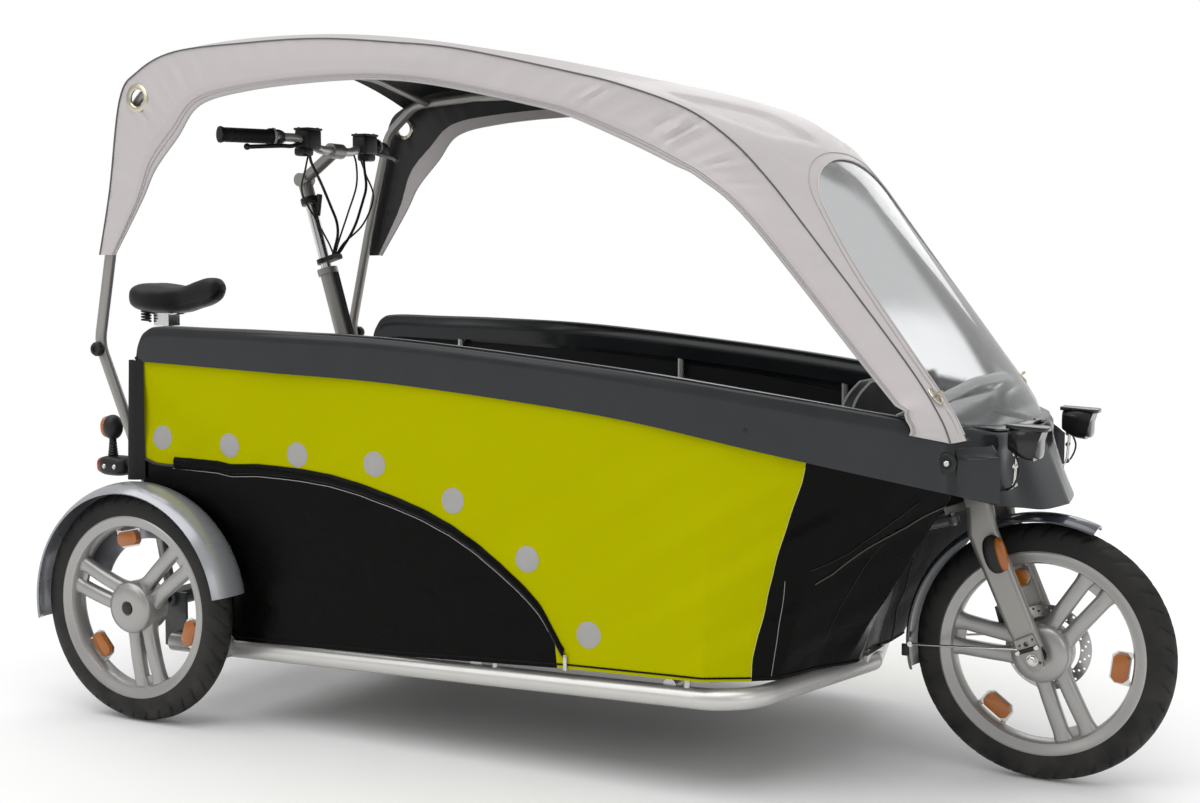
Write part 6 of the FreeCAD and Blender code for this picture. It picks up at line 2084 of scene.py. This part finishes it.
@dataclass
class Lamps:
    """Two head lamps on bent brackets, and two rear lamps with indicators on ribbed stalks."""

    head_mm: tuple[float, float, float] = (8.0, 226.0, 728.0)
    rear_mm: tuple[float, float, float] = (-2125.0, 448.0, 576.0)

    def build(self) -> None:
        """Builds both pairs."""
        self.head_pair()
        self.rear_pair()

    def head_pair(self) -> None:
        """Hooded black lamps with a sloping lens and a punched strip under each."""
        parts = []
        x, y, z = self.head_mm
        for side in SIDES:
            spot = from_front(x, side * y, z)

            def shell_point(u: float, v: float, spot: Vector = spot) -> Vector:
                """Point on the hood.

                Args:
                    u: share of the way forward.
                    v: share of the way round.
                    spot: the lamp's middle.

                Returns:
                    The point.
                """
                across, rise = rounded(v * math.tau, 0.55)
                grow = 0.62 + 0.38 * math.sin(min(1.0, u * 1.5) * math.pi / 2)
                lean = 0.010 * rise * u
                return spot + Vector((-0.030 + 0.060 * u + lean, across * 0.029 * grow,
                                      rise * 0.033 * grow - 0.004 + 0.007 * (1 - u)))
            shell = closed_skin("hood", 14, 32, shell_point)
            visor = plate("visor", [spot + Vector((dx, dy, 0.0235 - dx * 0.05)) for dx, dy in VISOR],
                          Vector((0, 0, 0.008)))
            lens = pebble("lens", spot + Vector((0.027, 0, -0.007)), (7, 25, 26), 0.6)
            strip, wiring = ([spot + Vector((dx, side * dy, dz)) for dx, dy, dz in route]
                             for route in (LAMP_STRIP, LAMP_WIRE))
            strips = [tube("strip", smooth_route([point + ACROSS * shift for point in strip], 4), 2.0,
                           sides=6) for shift in (-0.005, 0.005)]
            wire = tube("lamp_wire", smooth_route(wiring, 8), 2.0, sides=8)
            bolts = [turned("bolt", LAMP_BOLT, spot + Vector((-0.019, 0, drop)), side * ACROSS, 10)
                     for drop in (-0.026, -0.05, -0.086)]
            parts += painted(GLOSS_BLACK, shell, round_edges(visor, 1))
            parts += [paint(lens, LAMP_LENS), paint(wire, CABLE)] + painted(BRIGHT_STEEL, *strips, *bolts)
        dress(joined("head_lamp_pair", parts), None, "chassis", ["head_lamps"])

    def rear_pair(self) -> None:
        """Oval tail lamps, each with an indicator head on a ribbed stalk."""
        parts = []
        x, y, z = self.rear_mm
        for side in SIDES:
            spot = from_front(x, side * y, z)
            case = pebble("case", spot + Vector((0.004, 0, 0)), (44, 30, 24), 0.6)
            lens = pebble("lens", spot + Vector((-0.030, 0, 0)), (16, 26, 20), 0.7)
            arm = tube("arm", [spot + Vector((0.02, 0, 0.006)), from_front(-2018, side * 474, 590)], 9)
            ribs = [(0, 0), (15, 0), (15, 4)]
            for rib in range(5):
                ribs += [(11 - rib * 0.6, 6 + rib * 6), (13 - rib * 0.8, 9 + rib * 6)]
            ribs += [(8.5, 38), (9, 60), (0, 62)]
            stalk = turned("stalk", ribs, spot + Vector((-0.009, 0, 0.018)), UP, 24)
            head = pebble("head", spot + Vector((-0.008, 0, 0.092)), (24, 23, 30), 0.95)
            glass = pebble("glass", spot + Vector((-0.024, 0, 0.092)), (15, 20, 26), 0.9)
            bolts = [turned("bolt", TAIL_BOLT, spot + Vector((dx, side * 0.029, 0)), side * ACROSS, 10)
                     for dx in (-0.010, 0.022)]
            parts += painted(BLACK_PLASTIC, case, arm, stalk, head)
            parts += [paint(lens, RED_LENS), paint(glass, AMBER)] + painted(BRIGHT_STEEL, *bolts)
        dress(joined("rear_lamp_pair", parts), None, "chassis", ["rear_lamps"])


@dataclass
class Saddle:
    """Padded comfort saddle: wide rear, narrow nose, sewn edge."""

    length_mm: float = 268.0
    half_mm: float = 102.5
    top_mm: float = 1008.0
    rear_mm: float = -2438.0

    # Columns: share of the length from the rear, half width share, underside and top below the top.
    ROWS = [(0.0, 0.42, 52, 24), (0.05, 0.72, 68, 7), (0.14, 0.94, 78, 0), (0.30, 0.97, 82, 3),
            (0.45, 0.74, 82, 8), (0.58, 0.46, 78, 6), (0.72, 0.34, 68, -6), (0.84, 0.30, 60, -13),
            (0.94, 0.27, 46, -11), (1.0, 0.15, 24, 4)]

    def point(self, u: float, v: float) -> Vector:
        """Point on the cover.

        Args:
            u: share of the way forward.
            v: share of the way round.

        Returns:
            The point.
        """
        share, wide, under, top = row_at(self.ROWS, u * (len(self.ROWS) - 1))
        across, rise = rounded(v * math.tau, 0.72)
        middle = self.top_mm - (under + top) / 2
        half = (under - top) / 2
        dip = 5.0 * (1 - abs(across)) * math.sin(math.pi * min(1.0, share * 1.2)) if rise > 0 else 0.0
        return from_front(self.rear_mm + share * self.length_mm, across * wide * self.half_mm,
                          middle + rise * half - dip)

    def build(self) -> None:
        """Builds the cover, its seams and the coil springs under it."""
        cover = closed_skin("saddle_cover", 54, 48, self.point)
        lines = [[self.point(0.06 + 0.88 * step / 40, v) + Vector((0, shift, 0)) for step in range(41)]
                 for v, shift in ((0.94, -0.0006), (0.56, 0.0006))]
        dress(cover, SADDLE_COVER, "chassis", ["saddle"], crease=80)
        parts = [tube("seam", line, 1.1, sides=6) for line in lines] + [self.spring(side) for side in SIDES]
        dress(joined("saddle_seams", parts), CABLE, "chassis")

    def spring(self, side: float) -> Piece:
        """Coil spring between the saddle's rear and its frame.

        Args:
            side: -1 to the right, 1 to the left.

        Returns:
            The spring.
        """
        foot = from_front(-2404, side * 34, 903)
        coil = [foot + Vector((0.012 * math.cos(turn), 0.012 * math.sin(turn), 0.0012 * turn))
                for turn in (0.45 * step for step in range(66))]
        return tube("spring", coil, 2.6, sides=8)


# Thin cables from the controls to the clip on the shaft, as places in mm from the front axle.
BAR_CABLES = [
    [(-1801, -104, 1336), (-1806, -112, 1296), (-1838, -86, 1236), (-1832, -34, 1166), (-1812, -12, 1110),
     (-1804, -5, 1082)],
    [(-1801, 104, 1336), (-1790, 116, 1290), (-1758, 104, 1230), (-1752, 50, 1160), (-1786, 14, 1112),
     (-1803, 5, 1082)],
    [(-1803, 70, 1352), (-1784, 66, 1318), (-1764, 40, 1258), (-1768, 10, 1190), (-1790, 0, 1120),
     (-1803, 0, 1082)],
]


# Middle line of a brake lever, in mm from the front axle; its side step is mirrored.
LEVER = [(-1799, 146, 1354), (-1797, 176, 1345), (-1802, 206, 1344), (-1812, 250, 1341), (-1826, 300, 1337)]
# Profiles: radius and distance along the axis.
GRIP_RING = [(14, -6), (21, -6), (22, -3), (21, 0), (14, 0), (14, -6)]
BAR_CLAMP = [(11.6, -12), (17, -12), (18, -8), (18, 8), (17, 12), (11.6, 12), (11.6, -12)]
LID_SCREW = [(0, -2), (3.4, -2), (3.4, 1.2), (2.6, 2), (0, 2)]
PIVOT_BOLT = [(0, -21), (7, -21), (7, 21), (0, 21)]
SHAFT_CLAMP = [(14.5, -9), (22, -9), (23, -6), (23, 6), (22, 9), (14.5, 9), (14.5, -9)]


@dataclass
class Handlebar:
    """Ribbed grips with grey end rings, brake controls with their cables, and the shaft's clamp."""

    bar_mm: float = 1366.0
    ribs: int = 22
    grip_length: float = 133.0

    def build(self) -> None:
        """Builds grips, controls and clamps."""
        for side in SIDES:
            self.grip(side)
        self.controls()
        self.clamps()

    def grip(self, side: float) -> None:
        """One ribbed grip along its stretch of the bar.

        Args:
            side: -1 to the right, 1 to the left.
        """
        end = from_front(-1890, side * 333, self.bar_mm)
        inner = from_front(-1829, side * 212, self.bar_mm)
        run = (end - inner).normalized()
        profile = [(0, 0), (20, 0), (21, 3), (20.5, 9), (18.5, 12)]
        for rib in range(self.ribs):
            profile += [(17.2, 14 + rib * 5), (18.3, 16.4 + rib * 5)]
        profile += [(18.6, 124), (20.5, 128), (20, 132), (0, self.grip_length)]
        scale = (end - inner).length / MM / self.grip_length
        grip = turned("grip", [(radius * 0.97, place * scale) for radius, place in profile], inner, run, 32)
        ring = turned("ring", GRIP_RING, inner, run, 32)
        parts = [paint(grip, RUBBER), paint(ring, GREY_EDGE)]
        name, replaced = ("grip_right", ["grips"]) if side < 0 else ("grip_left", [])
        dress(joined(name, parts), None, "handlebar_assembly", replaced)

    def controls(self) -> None:
        """Brake reservoirs with screwed lids, levers with a ball on their end, and their cables."""
        parts = []
        for side in SIDES:
            box = from_front(-1793, side * 118, 1364)
            body = soft_box("reservoir", box, (44, 54, 48), 6, 3)
            lid = soft_box("lid", box + Vector((0, 0, 0.0245)), (47, 57, 6), 2.5, 2)
            lower = soft_box("switch", box + Vector((-0.004, side * 0.012, -0.030)), (34, 40, 22), 7, 3)
            ring = turned("bar_clamp", BAR_CLAMP, from_front(-1822, side * 197, self.bar_mm),
                          Vector((0.45, side * 0.89, 0)), 28)
            blade = smooth_route([from_front(x, side * y, z) for x, y, z in LEVER], 6)
            ball = pebble("ball", from_front(-1828, side * 306, 1337), (8, 8, 8), 1.0)
            lever = tube("lever", blade, 5.2, sides=12)
            parts += painted(BLACK_PLASTIC, body, lid, lower, ring, lever, ball)
            parts += painted(BRIGHT_STEEL, *[
                turned("lid_screw", LID_SCREW, box + Vector((along, aside, 0.0275)), UP, 12)
                for along, aside in ((-0.014, -0.019), (0.014, 0.019))])
        for route in BAR_CABLES:
            line = smooth_route([from_front(*place) for place in route], 8)
            parts.append(paint(tube("bar_cable", line, 2.4, sides=8), CABLE))
        dress(joined("brake_controls", parts), None, "handlebar_assembly",
              ["handlebar_controls"])

    def clamps(self) -> None:
        """Pivot bolt of the stem, and the shaft's black clamp with its lever."""
        hinge = from_front(-1896.7, 0, 1272)
        axis = Vector((-0.292372, 0, 0.956305))
        low = hinge - axis * 0.056
        bolt = paint(turned("pivot_bolt", PIVOT_BOLT, hinge, ACROSS, 20), BRIGHT_STEEL)
        clamp = turned("shaft_clamp", SHAFT_CLAMP, low, axis, 32)
        lever = soft_box("clamp_lever", low + Vector((0.024, 0.004, -0.010)), (14, 12, 56), 4, 3,
                         (0, math.radians(8), 0))
        dress(joined("stem_clamps", [bolt] + painted(BLACK_PLASTIC, clamp, lever)), None,
              "handlebar_assembly")


# Columns: half width, rise from the foot: the backrest's edge on one side.
BACKREST_EDGE = [(205, 0), (262, 300), (290, 500), (276, 556), (214, 584)]
# The notch in its foot for the rod's cover, in the same columns.
BACKREST_NOTCH = [(-7, 0), (-7, 306), (-133, 306), (-133, 0)]


@dataclass
class Cabin:
    """Padded backrest and bench cushions inside the tub."""

    thickness_mm: float = 26.0
    lean_mm: float = 120.0
    cushion_inner: float = 0.175
    cushion_power: float = 0.24

    def build(self) -> None:
        """Builds the pads and their piping."""
        self.backrest()
        self.cushions()

    def backrest(self) -> None:
        """Front backrest: black cover with a grey piped edge, notched for the rod's cover."""
        def spot(y: float, rise: float) -> Vector:
            """Point in the pad's leaning plane, half width and rise given in mm."""
            return from_front(-455 + self.lean_mm / BACKREST_EDGE[-1][1] * rise, y, 246 + rise)
        upper = smooth_route([Vector((y, 0, rise)) for y, rise in BACKREST_EDGE], 3)
        half = [(point.x, point.z) for point in upper]
        outline = [spot(-y, rise) for y, rise in half] + [spot(y, rise) for y, rise in half[::-1]]
        notch = [spot(y, rise) for y, rise in BACKREST_NOTCH]
        pad = plate("backrest_pad", outline + notch, Vector((self.thickness_mm * MM, 0, 0)))
        dress(round_edges(pad, 7, 4, 60), CUSHION_COVER, "chassis", ["front_backrest"])
        piping = [tube("piping", [point + Vector((shift, 0, 0)) for point in outline[2:-2]], 2.6, sides=8)
                  for shift in (0.002, self.thickness_mm * MM - 0.002)]
        dress(joined("backrest_piping", piping), GREY_EDGE, "chassis")

    def cushions(self) -> None:
        """Two bench cushions, crowned, with a piped edge all round."""
        low, high = (Vector(corner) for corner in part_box("bench_cushions"))
        inner, power = self.cushion_inner, self.cushion_power
        pads, piping = [], []
        for side in SIDES:
            middle = Vector(((low.x + high.x) / 2, side * (inner + high.y) / 2, (low.z + high.z) / 2))
            half = Vector(((high.x - low.x) / 2, (high.y - inner) / 2, (high.z - low.z) / 2)) / MM
            pads.append(pebble("pad", middle, half, power, steps=36))
            ring = [middle + Vector((x * half.x * MM, y * half.y * MM, half.z * 0.55 * MM)) for x, y in
                    (rounded(math.tau * step / 96, power) for step in range(96))]
            piping.append(tube("piping", ring, 2.4, closed=True, sides=8))
        cushions = dress(joined("bench_pads", pads), CUSHION_COVER, "chassis",
                         ["bench_cushions"], crease=60)
        dress(joined("bench_piping", piping), GREY_EDGE, "chassis")


def wheels() -> list[CastWheel]:
    """The three wheels, from a table of names and angles.

    Returns:
        The front wheel, then the rear right one and the rear left one.
    """
    return [CastWheel("front_cast_wheel", "front_tyre", "front_wheel_reflectors", "front_wheel", 53.5, -1),
            CastWheel("rear_cast_wheel_right", "rear_tyre_right", "rear_wheel_reflectors_right",
                      "rear_wheel_right", 41.5, -1),
            CastWheel("rear_cast_wheel_left", "rear_tyre_left", "rear_wheel_reflectors_left",
                      "rear_wheel_left", 41.5, 1)]


def main() -> None:
    """Builds every sub-assembly in order."""
    logging.basicConfig(level=logging.INFO, format="%(message)s")
    for assembly in (Studio(), FrameFinishes(), Canopy(), TubRim(), SideCloths(), *wheels(), FrontEnd(),
                     Lamps(), Saddle(), Handlebar(), Cabin()):
        assembly.build()


if __name__ == "__main__":
    main()
